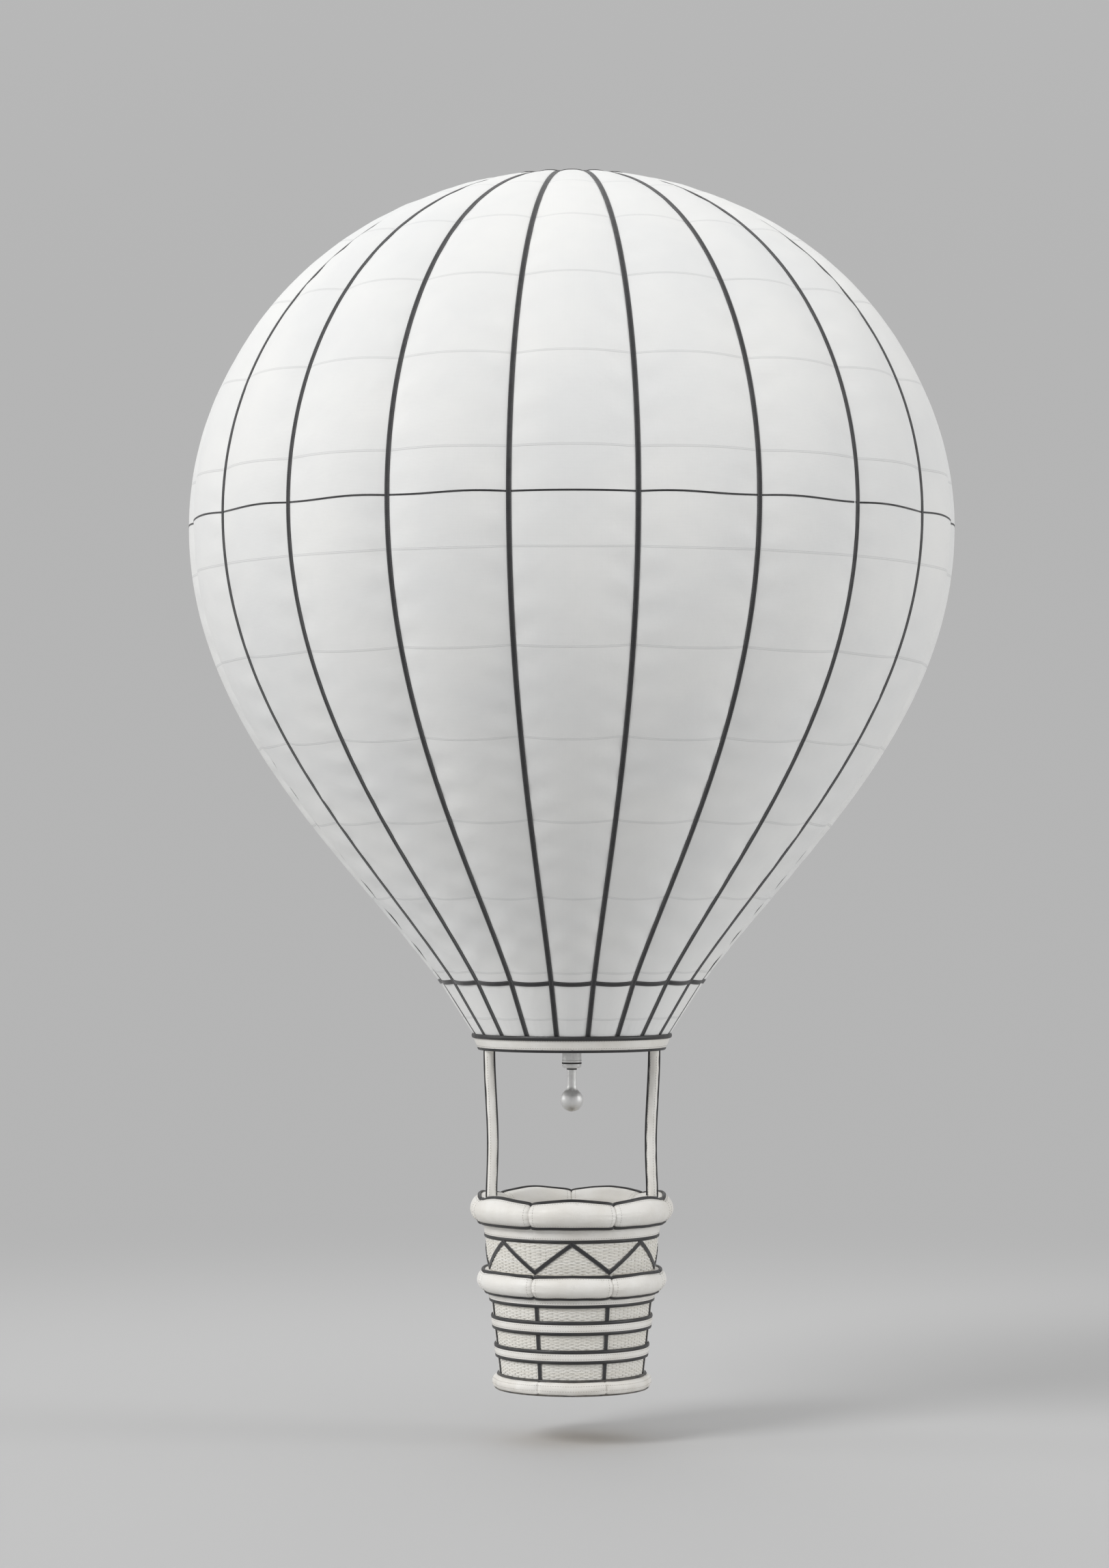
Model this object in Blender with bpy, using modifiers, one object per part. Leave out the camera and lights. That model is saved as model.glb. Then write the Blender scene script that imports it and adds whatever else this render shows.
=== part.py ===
"""Hot air balloon, at real size: a lobed envelope of twenty gores on load tapes, a crown vent that slides down
to open, a mouth ring with a gimballed burner, four posts and a round wicker basket.

Metres, +Z up. The origin is the centre of the envelope's widest ring, and -Y is the front.
Run it with: blender --background --python part.py
"""

import math

import bmesh
import bpy
import numpy as np
from mathutils import Matrix, Vector

# Gap between pieces that touch
GAP = 0.0004

# Envelope: a half ellipse above the widest ring, and one Bezier curve down to the skirt
ENVELOPE_RADIUS = 6.00
CROWN_HEIGHT = 5.55
SKIRT_RADIUS = 2.07
SKIRT_Z = -7.10
EQUATOR_HANDLE = 3.11
SKIRT_HANDLE = 2.32
SKIRT_HANDLE_SLOPE = 0.744  # metres outwards for each metre up
MOUTH_RADIUS = 1.537
MOUTH_Z = -7.922
GORES = 20
GORE_ROWS = 12
STRAIGHT_ROW = 12.0  # metres of straight profile that cost as many rows as one radian of bend
GORE_COLUMNS = (-1 / 2, -1 / 6, 1 / 6, 1 / 2)  # in gore widths from the gore's centre line
LOBE_SHARE = 0.020  # depth of the seam below the gore's crest, as a share of the radius
FABRIC = 0.010
SEAM_GAP = 0.0006

# Load tapes over the seams, and the hems that run round the vent and the top of the skirt
TAPE_WIDTH = 0.075
TAPE_SHARE_AT_CROWN = 0.7
TAPE_THICK = 0.008
TAPE_LIFT = 0.0025  # from the seam's flat sides to the underside of the tape
TAPE_END_UP = 0.0056
VENT_EDGE = 1.15
SPOKE_STATIONS = (0.16, 0.62)
VENT_OVERLAP = 0.235
VENT_DROP = 0.0108  # from the gore's outer side to the vent panel under it
CROWN_RING_INNER = 0.13
CROWN_RING_OUTER = 0.25
CROWN_RING_HIGH = 0.05

# Mouth ring and burner
MOUTH_RING_TOP = MOUTH_Z
MOUTH_RING_BOTTOM = -8.157
MOUTH_RING_TOP_OUTER = 1.558
MOUTH_RING_BOTTOM_OUTER = 1.466
MOUTH_RING_INNER = 1.290
PIVOT_Z = -8.07
BAR_RADIUS = 0.030
GIMBAL_INNER = 0.295
GIMBAL_OUTER = 0.345
GIMBAL_HIGH = 0.050
PIN_RADIUS = 0.0140
BORE_RADIUS = 0.0148
PIN_REACH = 0.065
CAN_RADIUS = 0.150
CAN_WALL = 0.010
CAN_TOP = -7.985
CAN_FLOOR = -8.350
CAN_BOTTOM = -8.456
NECK_RADIUS = 0.075
BULB_RADIUS = 0.180
BULB_Z = -8.957

# Posts, in pairs either side of the basket
POST_AZIMUTHS = (21, 159, 201, 339)
POST_RADIUS = 0.080
POST_TOP_REACH = 1.380
POST_WAIST_REACH = 1.322
POST_FOOT_REACH = 1.343
POST_WAIST_Z = -9.60
POST_SOCKET_Z = -10.42
POST_FOOT_Z = -10.62

# Basket: z of each level, and the outer radius of its inner wall at three of them
BASKET_STEPS = 42
PANELS = 7
RIM_ROLL_REACH = 1.377
RIM_ROLL_RADIUS = 0.208
RIM_ROLL_Z = -10.644
RIM_SWELL = 0.034
WALL_TOP = RIM_ROLL_Z - RIM_ROLL_RADIUS
CUFF_BOTTOM = -11.055
MID_ROLL_TOP = -11.573
MID_ROLL_BOTTOM = -11.915
MID_ROLL_REACH = 1.473
MID_SWELL = 0.022
HOOP_LEVELS = ((-11.915, -12.043), (-12.305, -12.465), (-12.753, -12.908))
BASE_RING_TOP = -13.217
BASKET_BOTTOM = -13.431
BASE_RING_REACH = 1.222
WALL_STATIONS = ((BASKET_BOTTOM, 1.082), (-11.744, 1.270), (WALL_TOP, 1.352))
WALL_THICK = 0.040
CUFF_THICK = 0.028
PANEL_THICK = 0.020
ZIGZAG_THICK = 0.014
ZIGZAG_WIDE = 0.065
STAKE_THICK = 0.012
STAKE_WIDE = 0.065
HOOP_THICK = 0.012
STRAP_CLEAR = 0.002
FLOOR_THICK = 0.060

FRONT = math.radians(-90)
GORE_ANGLE = math.tau / GORES
PANEL_ANGLE = math.tau / PANELS

# Name: colour, roughness, metallic
FINISHES = {
    "envelope_fabric": ((0.86, 0.86, 0.84), 0.55, 0.0),
    "tape": ((0.02, 0.02, 0.022), 0.70, 0.0),
    "white_leather": ((0.82, 0.80, 0.76), 0.50, 0.0),
    "pale_wicker": ((0.80, 0.77, 0.70), 0.65, 0.0),
    "steel": ((0.62, 0.63, 0.64), 0.30, 1.0),
    "floor_board": ((0.70, 0.62, 0.50), 0.60, 0.0),
}


def clear_scene():
    for obj in list(bpy.data.objects):
        bpy.data.objects.remove(obj)


def new_collection(name):
    made = bpy.data.collections.new(name)
    bpy.context.scene.collection.children.link(made)
    return made


def finishes():
    """The part's materials, by name."""
    made = {}
    for name, (colour, roughness, metallic) in FINISHES.items():
        material = bpy.data.materials.new(name)
        material.use_nodes = True
        shader = material.node_tree.nodes["Principled BSDF"]
        shader.inputs["Base Color"].default_value = (*colour, 1.0)
        shader.inputs["Roughness"].default_value = roughness
        shader.inputs["Metallic"].default_value = metallic
        made[name] = material
    return made


def add_piece(name, data, finish):
    """A new object in the balloon's collection, with its finish."""
    obj = bpy.data.objects.new(name, data)
    BALLOON.objects.link(obj)
    if not data.materials:
        data.materials.append(MATERIALS[finish])
    return obj


def mesh_of(name, points, faces=(), edges=()):
    mesh = bpy.data.meshes.new(name)
    mesh.from_pydata([tuple(p) for p in points], list(edges), list(faces))
    mesh.validate()
    return mesh


def smooth(mesh, sharp_degrees=40):
    mesh.shade_smooth()
    mesh.set_sharp_from_angle(angle=math.radians(sharp_degrees))


def solidify(obj, thickness, offset):
    """Gives an open surface its thickness: offset -1 puts all of it inside, 1 all of it outside."""
    modifier = obj.modifiers.new("Solidify", "SOLIDIFY")
    modifier.thickness = thickness
    modifier.offset = offset
    modifier.use_even_offset = True


def turned(name, profile, steps, finish, start=FRONT):
    """A piece turned about Z from (radius, z) points. The profile runs down its outer side, and closes unless
    both its ends are on the axis."""
    on_axis = abs(profile[0][0]) < GAP and abs(profile[-1][0]) < GAP
    count = len(profile)
    edges = [(i, i + 1) for i in range(count - 1)]
    if not on_axis:
        edges.append((count - 1, 0))
    mesh = mesh_of(name, [(r, 0, z) for r, z in profile], edges=edges)
    obj = add_piece(name, mesh, finish)
    screw = obj.modifiers.new("Screw", "SCREW")
    screw.axis = "Z"
    screw.angle = math.tau
    screw.steps = screw.render_steps = steps
    screw.use_merge_vertices = on_axis
    screw.merge_threshold = 0.0001
    screw.use_smooth_shade = True
    obj.rotation_euler.z = start
    return obj


def arc(centre, radius, first, last, count):
    """Points of an arc in the (radius, z) plane, from one angle in degrees to another."""
    angles = [math.radians(first + (last - first) * i / (count - 1)) for i in range(count)]
    return [(centre[0] + radius * math.cos(a), centre[1] + radius * math.sin(a)) for a in angles]


def ring_loft(name, sections, finish):
    """A closed ring through sections that stand round the Z axis, each a closed loop of as many points."""
    count = len(sections[0])
    points = [p for section in sections for p in section]
    faces = []
    for i in range(len(sections)):
        here, there = i * count, (i + 1) % len(sections) * count
        for j in range(count):
            k = (j + 1) % count
            faces.append((here + j, here + k, there + k, there + j))
    mesh = mesh_of(name, points, faces)
    smooth(mesh)
    return add_piece(name, mesh, finish)


def polar(radius, azimuth, z):
    return Vector((radius * math.cos(azimuth), radius * math.sin(azimuth), z))


def rod(name, radius, start, end, sides, collection):
    """A cylinder between two points."""
    start, end = Vector(start), Vector(end)
    work = bmesh.new()
    bmesh.ops.create_cone(
        work, cap_ends=True, segments=sides, radius1=radius, radius2=radius, depth=(end - start).length
    )
    mesh = bpy.data.meshes.new(name)
    work.to_mesh(mesh)
    work.free()
    smooth(mesh)
    obj = bpy.data.objects.new(name, mesh)
    collection.objects.link(obj)
    turn = (end - start).to_track_quat("Z", "Y").to_matrix().to_4x4()
    obj.matrix_world = Matrix.Translation((start + end) / 2) @ turn
    return obj


def helper(obj):
    """Marks a cutter, or a piece that is joined into another."""
    obj.hide_render = True
    obj.display_type = "WIRE"
    return obj


def boolean(obj, other, operation):
    modifier = obj.modifiers.new(f"{operation.title()} {other.name}", "BOOLEAN")
    modifier.operation = operation
    modifier.object = helper(other)


# Envelope surface


def lower_curve(share):
    """The (radius, z) point at a share, from 0 at the widest ring to 1 at the skirt."""
    up = Vector((SKIRT_HANDLE_SLOPE, 1)).normalized() * SKIRT_HANDLE
    end = Vector((SKIRT_RADIUS, SKIRT_Z))
    corners = (
        Vector((ENVELOPE_RADIUS, 0)),
        Vector((ENVELOPE_RADIUS, -EQUATOR_HANDLE)),
        end + up,
        end,
    )
    left = 1 - share
    weights = (left**3, 3 * left**2 * share, 3 * left * share**2, share**3)
    return sum((w * p for w, p in zip(weights, corners)), Vector((0, 0)))


def profile_line(fine=400):
    """The crest line of a gore as rows of (distance from the crown, radius, z)."""
    quarter = math.pi / 2
    dome = [
        (ENVELOPE_RADIUS * math.sin(quarter * i / fine), CROWN_HEIGHT * math.cos(quarter * i / fine))
        for i in range(fine)
    ]
    lower = [tuple(lower_curve(i / fine)) for i in range(fine + 1)]
    skirt = [
        (
            SKIRT_RADIUS + (MOUTH_RADIUS - SKIRT_RADIUS) * i / fine,
            SKIRT_Z + (MOUTH_Z - SKIRT_Z) * i / fine,
        )
        for i in range(1, fine + 1)
    ]
    line = np.array(dome + lower + skirt)
    steps = np.hypot(*np.diff(line, axis=0).T)
    return np.column_stack([np.concatenate([[0], np.cumsum(steps)]), line])


LINE = profile_line()
SKIRT_S = float(np.interp(-SKIRT_Z, -LINE[:, 2], LINE[:, 0]))
MOUTH_S = float(LINE[-1, 0])


def crest(s):
    """Radius, z and outward normal of the gore's crest line at a distance s from the crown. At the mouth the
    normal is level, and as much longer as keeps the skirt's thickness."""
    r, z = (float(np.interp(s, LINE[:, 0], LINE[:, k])) for k in (1, 2))
    near, far = (
        Vector([float(np.interp(t, LINE[:, 0], LINE[:, k])) for k in (1, 2)])
        for t in (max(s - 0.02, 0), min(s + 0.02, MOUTH_S))
    )
    along = (far - near).normalized()
    if s >= MOUTH_S:
        return r, z + GAP, Vector((-1 / along.y, 0))
    return r, z, Vector((-along.y, along.x))


def gore_stations():
    """Distances from the crown of a gore's rows, closer together where its profile bends more."""
    gore = LINE[(LINE[:, 0] >= VENT_EDGE) & (LINE[:, 0] <= SKIRT_S)]
    steps = np.diff(gore[:, 1:], axis=0)
    angles = np.unwrap(np.arctan2(steps[:, 1], steps[:, 0]))
    bends = np.abs(np.diff(angles, prepend=angles[0]))
    effort = np.concatenate([[0], np.cumsum(bends + np.hypot(*steps.T) / STRAIGHT_ROW)])
    inner = np.interp(np.linspace(0, effort[-1], GORE_ROWS + 1)[1:-1], effort, gore[:, 0])
    return [VENT_EDGE, *map(float, inner), SKIRT_S]


GORE_STATIONS = gore_stations()


def tape_edge(s):
    """Where the tape starts, in gore widths from the gore's centre line."""
    gore_width = GORE_ANGLE * crest(s)[0]
    return 0.5 - min(TAPE_WIDTH, TAPE_SHARE_AT_CROWN * gore_width) / (2 * gore_width)


def lobe_point(azimuth, s, across, lift=0.0):
    """A point on the lobed surface, or lift metres outside it. across is in gore widths from the centre line."""
    r, z, normal = crest(s)
    away = lift - LOBE_SHARE * r * (2 * across) ** 2
    return polar(r + normal.x * away, azimuth + across * GORE_ANGLE, z + normal.y * away)


def bracket(value, marks):
    """The two marks on either side of a value, and how far along it is between them."""
    k = int(np.clip(np.searchsorted(marks, value), 1, len(marks) - 1))
    low, high = marks[k - 1], marks[k]
    return low, high, (value - low) / (high - low)


def panel_point(azimuth, s, across, lift=0.0):
    """A point on the flat faces that the panels are made of, or lift metres outside them."""
    left, right, share = bracket(across, GORE_COLUMNS)
    rows = [*SPOKE_STATIONS, *GORE_STATIONS, MOUTH_S]
    upper, lower, drop = bracket(s, rows)
    high, low = (
        lobe_point(azimuth, row, left, lift).lerp(lobe_point(azimuth, row, right, lift), share)
        for row in (upper, lower)
    )
    return high.lerp(low, drop)


def add_gores():
    """Twenty gores from the vent to the skirt, which meet at the seams."""
    points, faces = [], []
    for s in GORE_STATIONS:
        seam = 0.5 - SEAM_GAP / (2 * GORE_ANGLE * crest(s)[0])
        points += [lobe_point(0, s, max(-seam, min(across, seam))) for across in GORE_COLUMNS]
    for i in range(GORE_ROWS):
        for j in range(3):
            a = 4 * i + j
            faces.append((a, a + 4, a + 5, a + 1))
    mesh = mesh_of("gore", points, faces)
    smooth(mesh)
    for k in range(GORES):
        obj = add_piece(f"gore_{k + 1:02d}", mesh, "envelope_fabric")
        solidify(obj, FABRIC, -1)
        obj.rotation_euler.z = FRONT + k * GORE_ANGLE


def lobed_rows(rows):
    """Points of whole rings from rows of (distance from the crown, lift), three to a gore."""
    points = []
    for s, lift in rows:
        for k in range(GORES):
            points += [panel_point(FRONT + k * GORE_ANGLE, s, across, lift) for across in GORE_COLUMNS[:3]]
    return points


def ring_faces(rows, count):
    """Faces between each ring of points and the next, all the way round."""
    faces = []
    for i in range(rows - 1):
        for j in range(count):
            a, b = i * count + j, i * count + (j + 1) % count
            faces.append((a, a + count, b + count, b))
    return faces


def add_load_tapes():
    """Twenty tapes from the crown to the mouth over the seams, and two hems, as one piece of webbing."""
    hem = TAPE_WIDTH / 2
    rows = [*SPOKE_STATIONS, VENT_EDGE, VENT_EDGE + TAPE_WIDTH, *GORE_STATIONS[1:-1]]
    rows += [SKIRT_S - hem, SKIRT_S, SKIRT_S + hem, MOUTH_S - TAPE_END_UP]
    hems = (VENT_EDGE, SKIRT_S - hem, SKIRT_S)
    points, faces = [], []
    for s in rows:
        edge = tape_edge(s)
        for k in range(GORES):
            azimuth = FRONT + k * GORE_ANGLE
            points += [panel_point(azimuth, s, across, TAPE_LIFT) for across in (-edge, -1 / 6, 1 / 6, edge)]
    count = 4 * GORES
    for i, s in enumerate(rows[:-1]):
        for j in range(count):
            if s in hems or j % 4 == 3:
                a, b = i * count + j, i * count + (j + 1) % count
                faces.append((a, a + count, b + count, b))
    used = sorted({index for face in faces for index in face})
    place = {index: n for n, index in enumerate(used)}
    mesh = mesh_of("load_tapes", [points[i] for i in used], [[place[i] for i in face] for face in faces])
    smooth(mesh)
    solidify(add_piece("load_tapes", mesh, "tape"), TAPE_THICK, 1)


def add_skirt():
    """The cone of fabric between the envelope and the mouth ring."""
    points = lobed_rows([(SKIRT_S + GAP, 0.0), (MOUTH_S, 0.0)])
    mesh = mesh_of("skirt", points, ring_faces(2, 3 * GORES))
    smooth(mesh)
    solidify(add_piece("skirt", mesh, "envelope_fabric"), FABRIC, -1)


def add_vent():
    """The vent panel, which hot air holds up against the tapes and the gores' top edges, and the crown ring."""
    rows = [(s, TAPE_LIFT - GAP) for s in SPOKE_STATIONS]
    rows += [(s, -VENT_DROP) for s in (VENT_EDGE, VENT_EDGE + VENT_OVERLAP)]
    points = lobed_rows(rows)
    count = 3 * GORES
    faces = ring_faces(len(rows), count)
    faces += [(len(points), j, (j + 1) % count) for j in range(count)]
    points.append(Vector((0, 0, CROWN_HEIGHT)))
    mesh = mesh_of("vent_panel", points, faces)
    smooth(mesh)
    solidify(add_piece("vent_panel", mesh, "envelope_fabric"), FABRIC, -1)

    first = SPOKE_STATIONS[0]
    low = panel_point(0, first, tape_edge(first), TAPE_LIFT + TAPE_THICK).z + 2 * GAP
    high = low + CROWN_RING_HIGH
    bevel = 0.012
    section = [
        (CROWN_RING_INNER, high),
        (CROWN_RING_OUTER - bevel, high),
        (CROWN_RING_OUTER, high - bevel),
        (CROWN_RING_OUTER, low),
        (CROWN_RING_INNER, low),
    ]
    turned("crown_ring", section, 2 * GORES, "steel")


# Mouth ring and burner


def add_mouth_ring():
    lip = 0.020
    section = [
        (MOUTH_RING_INNER, MOUTH_RING_TOP),
        (MOUTH_RING_TOP_OUTER - lip, MOUTH_RING_TOP),
        (MOUTH_RING_TOP_OUTER, MOUTH_RING_TOP - lip),
        (MOUTH_RING_BOTTOM_OUTER + lip / 2, MOUTH_RING_BOTTOM + lip),
        (MOUTH_RING_BOTTOM_OUTER, MOUTH_RING_BOTTOM),
        (MOUTH_RING_INNER, MOUTH_RING_BOTTOM),
    ]
    turned("mouth_ring", section, 2 * GORES, "white_leather")


def add_burner_frame():
    """Two bars from the mouth ring, and the gimbal ring that turns on them about X."""
    wall = MOUTH_RING_INNER - BAR_RADIUS * math.tan(GORE_ANGLE / 4) - GAP
    clear = 0.007
    for side, name in ((-1, "burner_bar_left"), (1, "burner_bar_right")):
        inner = side * (GIMBAL_OUTER + clear)
        bar = rod(name, BAR_RADIUS, (inner, 0, PIVOT_Z), (side * wall, 0, PIVOT_Z), 16, BALLOON)
        bar.data.materials.append(MATERIALS["steel"])
        reach = side * (GIMBAL_OUTER + PIN_REACH + clear)
        start = side * GIMBAL_OUTER
        bore = rod(f"{name}_bore", BORE_RADIUS, (start, 0, PIVOT_Z), (reach, 0, PIVOT_Z), 16, CUTTERS)
        boolean(bar, bore, "DIFFERENCE")

    high, low = PIVOT_Z + GIMBAL_HIGH / 2, PIVOT_Z - GIMBAL_HIGH / 2
    section = [(GIMBAL_INNER, high), (GIMBAL_OUTER, high), (GIMBAL_OUTER, low), (GIMBAL_INNER, low)]
    ring = turned("gimbal_ring", section, 32, "steel")
    half = (GIMBAL_INNER + GIMBAL_OUTER) / 2
    for side, name in ((-1, "gimbal_pin_left"), (1, "gimbal_pin_right")):
        tip = side * (GIMBAL_OUTER + PIN_REACH)
        pin = rod(name, PIN_RADIUS, (side * half, 0, PIVOT_Z), (tip, 0, PIVOT_Z), 16, CUTTERS)
        boolean(ring, pin, "UNION")
    through = GIMBAL_OUTER + clear
    bore = rod("gimbal_bore", BORE_RADIUS, (0, -through, PIVOT_Z), (0, through, PIVOT_Z), 16, CUTTERS)
    boolean(ring, bore, "DIFFERENCE")


def add_burner():
    """The burner can on its two trunnions, and the bulb below it."""
    corner = 0.035
    inner = CAN_RADIUS - CAN_WALL
    profile = [(0, CAN_FLOOR), (inner, CAN_FLOOR), (inner, CAN_TOP), (CAN_RADIUS, CAN_TOP)]
    profile += arc((CAN_RADIUS - corner, CAN_BOTTOM + corner), corner, 0, -90, 4)
    profile.append((0, CAN_BOTTOM))
    can = turned("burner_can", profile, 24, "steel")
    for side, name in ((-1, "trunnion_front"), (1, "trunnion_back")):
        start = side * (CAN_RADIUS - CAN_WALL / 2)
        tip = side * (GIMBAL_OUTER + CAN_WALL)
        boolean(can, rod(name, PIN_RADIUS, (0, start, PIVOT_Z), (0, tip, PIVOT_Z), 16, CUTTERS), "UNION")

    top = CAN_BOTTOM - GAP
    fillet = 0.060
    low = BULB_Z + math.sqrt((BULB_RADIUS + fillet) ** 2 - (NECK_RADIUS + fillet) ** 2)
    meet = math.degrees(math.atan2(low - BULB_Z, NECK_RADIUS + fillet))
    body = [(0, top), (NECK_RADIUS, top)]
    body += arc((NECK_RADIUS + fillet, low), fillet, 180, 180 + meet, 4)
    body += arc((0, BULB_Z), BULB_RADIUS, meet - 12, -90, 9)
    body[-1] = (0, BULB_Z - BULB_RADIUS)
    turned("burner_bulb", body, 24, "steel")


# Posts


def add_posts():
    """Four posts that bow inwards a little, each set in a socket in the rim roll."""
    stations = (
        (POST_TOP_REACH, MOUTH_RING_BOTTOM - GAP, 0.50),
        (POST_WAIST_REACH, POST_WAIST_Z, 0.45),
        (POST_FOOT_REACH, POST_SOCKET_Z, 0.25),
        (POST_FOOT_REACH, POST_FOOT_Z + GAP, 0.05),
    )
    for n, degrees in enumerate(POST_AZIMUTHS, 1):
        azimuth = math.radians(degrees)
        curve = bpy.data.curves.new(f"post_{n}", "CURVE")
        curve.dimensions = "3D"
        curve.bevel_depth = POST_RADIUS
        curve.bevel_resolution = 4
        curve.resolution_u = 4
        curve.use_fill_caps = True
        spline = curve.splines.new("BEZIER")
        spline.bezier_points.add(len(stations) - 1)
        for point, (reach, z, handle) in zip(spline.bezier_points, stations):
            point.handle_left_type = point.handle_right_type = "FREE"
            point.co = polar(reach, azimuth, z)
            point.handle_left = point.co + Vector((0, 0, handle))
            point.handle_right = point.co - Vector((0, 0, handle))
        add_piece(f"post_{n}", curve, "white_leather")


def cut_sockets(roll):
    clear = 0.0015
    for n, degrees in enumerate(POST_AZIMUTHS, 1):
        azimuth = math.radians(degrees)
        low = polar(POST_FOOT_REACH, azimuth, POST_FOOT_Z)
        high = polar(POST_FOOT_REACH, azimuth, RIM_ROLL_Z + 2 * RIM_ROLL_RADIUS)
        boolean(roll, rod(f"socket_{n}", POST_RADIUS + clear, low, high, 16, CUTTERS), "DIFFERENCE")


# Basket


def wall_outer(z):
    """Outer radius of the basket's inner wall."""
    return float(np.interp(z, *zip(*WALL_STATIONS)))


def band(name, top, bottom, inner, thick, finish):
    """A hoop of the wall's slope, standing inner metres off the wall."""
    section = [
        (wall_outer(z) + off, z)
        for z, off in ((top, inner), (top, inner + thick), (bottom, inner + thick), (bottom, inner))
    ]
    return turned(name, section, BASKET_STEPS, finish)


def swell(azimuth):
    """1 over the middle of each panel and -1 over each stake."""
    return math.cos(PANELS * (azimuth - FRONT))


def basket_azimuths():
    return [FRONT + math.tau * i / BASKET_STEPS for i in range(BASKET_STEPS)]


def add_rim_roll():
    """The padded roll on the rim, flat where it sits on the wall and swelling over each panel."""
    sides = 12
    radius = RIM_ROLL_RADIUS / math.cos(math.pi / sides)
    sections = []
    for azimuth in basket_azimuths():
        section = []
        for j in range(sides):
            angle = math.tau * (j + 0.5) / sides
            rise = RIM_SWELL * swell(azimuth) * max(0.0, math.sin(angle))
            reach = RIM_ROLL_REACH + radius * math.cos(angle)
            section.append(polar(reach, azimuth, RIM_ROLL_Z + radius * math.sin(angle) + rise))
        sections.append(section[::-1])
    roll = ring_loft("rim_roll", sections, "white_leather")
    cut_sockets(roll)


def add_mid_roll():
    """The padded roll half way down, flat against the wall."""
    half = (MID_ROLL_TOP - MID_ROLL_BOTTOM) / 2
    centre = (MID_ROLL_TOP + MID_ROLL_BOTTOM) / 2
    sides = 8
    sections = []
    for azimuth in basket_azimuths():
        section = []
        for j in range(sides + 1):
            angle = math.pi * (0.5 - j / sides)
            z = centre + half * math.sin(angle)
            inner = wall_outer(z) + GAP
            rise = MID_SWELL * swell(azimuth) * max(0.0, math.sin(2 * angle)) ** 2
            reach = inner + (MID_ROLL_REACH - inner) * math.cos(angle)
            section.append(polar(reach, azimuth, z + rise))
        section.append(polar(wall_outer(centre) + GAP, azimuth, centre))
        sections.append(section)
    ring_loft("mid_roll", sections, "white_leather")


def add_zigzag():
    """The strap that zigzags round the upper panel, with a point up in the middle of each of its seven panels."""
    top, bottom = CUFF_BOTTOM - GAP, MID_ROLL_TOP + STRAP_CLEAR
    per_leg = BASKET_STEPS // (2 * PANELS)
    leg_wide = wall_outer(top) * PANEL_ANGLE / 2
    slant = math.hypot(leg_wide, top - bottom - ZIGZAG_WIDE) / leg_wide
    tall = ZIGZAG_WIDE * slant
    off = 2 * GAP + PANEL_THICK
    points, faces = [], []
    for i, azimuth in enumerate(basket_azimuths()):
        share = abs((i + per_leg) % (2 * per_leg) - per_leg) / per_leg
        high = bottom + tall + (top - bottom - tall) * share
        for z in (high, high - tall):
            points.append(polar(wall_outer(z) + off, azimuth, z))
    for i in range(BASKET_STEPS):
        a, b = 2 * i, 2 * ((i + 1) % BASKET_STEPS)
        faces.append((a, a + 1, b + 1, b))
    mesh = mesh_of("zigzag_strap", points, faces)
    solidify(add_piece("zigzag_strap", mesh, "tape"), ZIGZAG_THICK, 1)


def add_stakes():
    """Seven upright stakes over the weave, under the hoops."""
    step = math.tau / BASKET_STEPS
    off = 3 * GAP + PANEL_THICK
    for n in range(PANELS):
        azimuth = FRONT + (n + 0.5) * PANEL_ANGLE
        points = []
        for z in (HOOP_LEVELS[0][0] - GAP, BASE_RING_TOP + STRAP_CLEAR):
            reach = wall_outer(z) + off
            middle = polar(reach, azimuth, z)
            share = STAKE_WIDE / (4 * reach * math.sin(step / 2))
            left, right = (middle.lerp(polar(reach, azimuth + turn, z), share) for turn in (-step, step))
            points += [left, middle, right]
        mesh = mesh_of(f"stake_{n + 1}", points, [(0, 3, 4, 1), (1, 4, 5, 2)])
        solidify(add_piece(f"stake_{n + 1}", mesh, "tape"), STAKE_THICK, 1)


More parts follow.
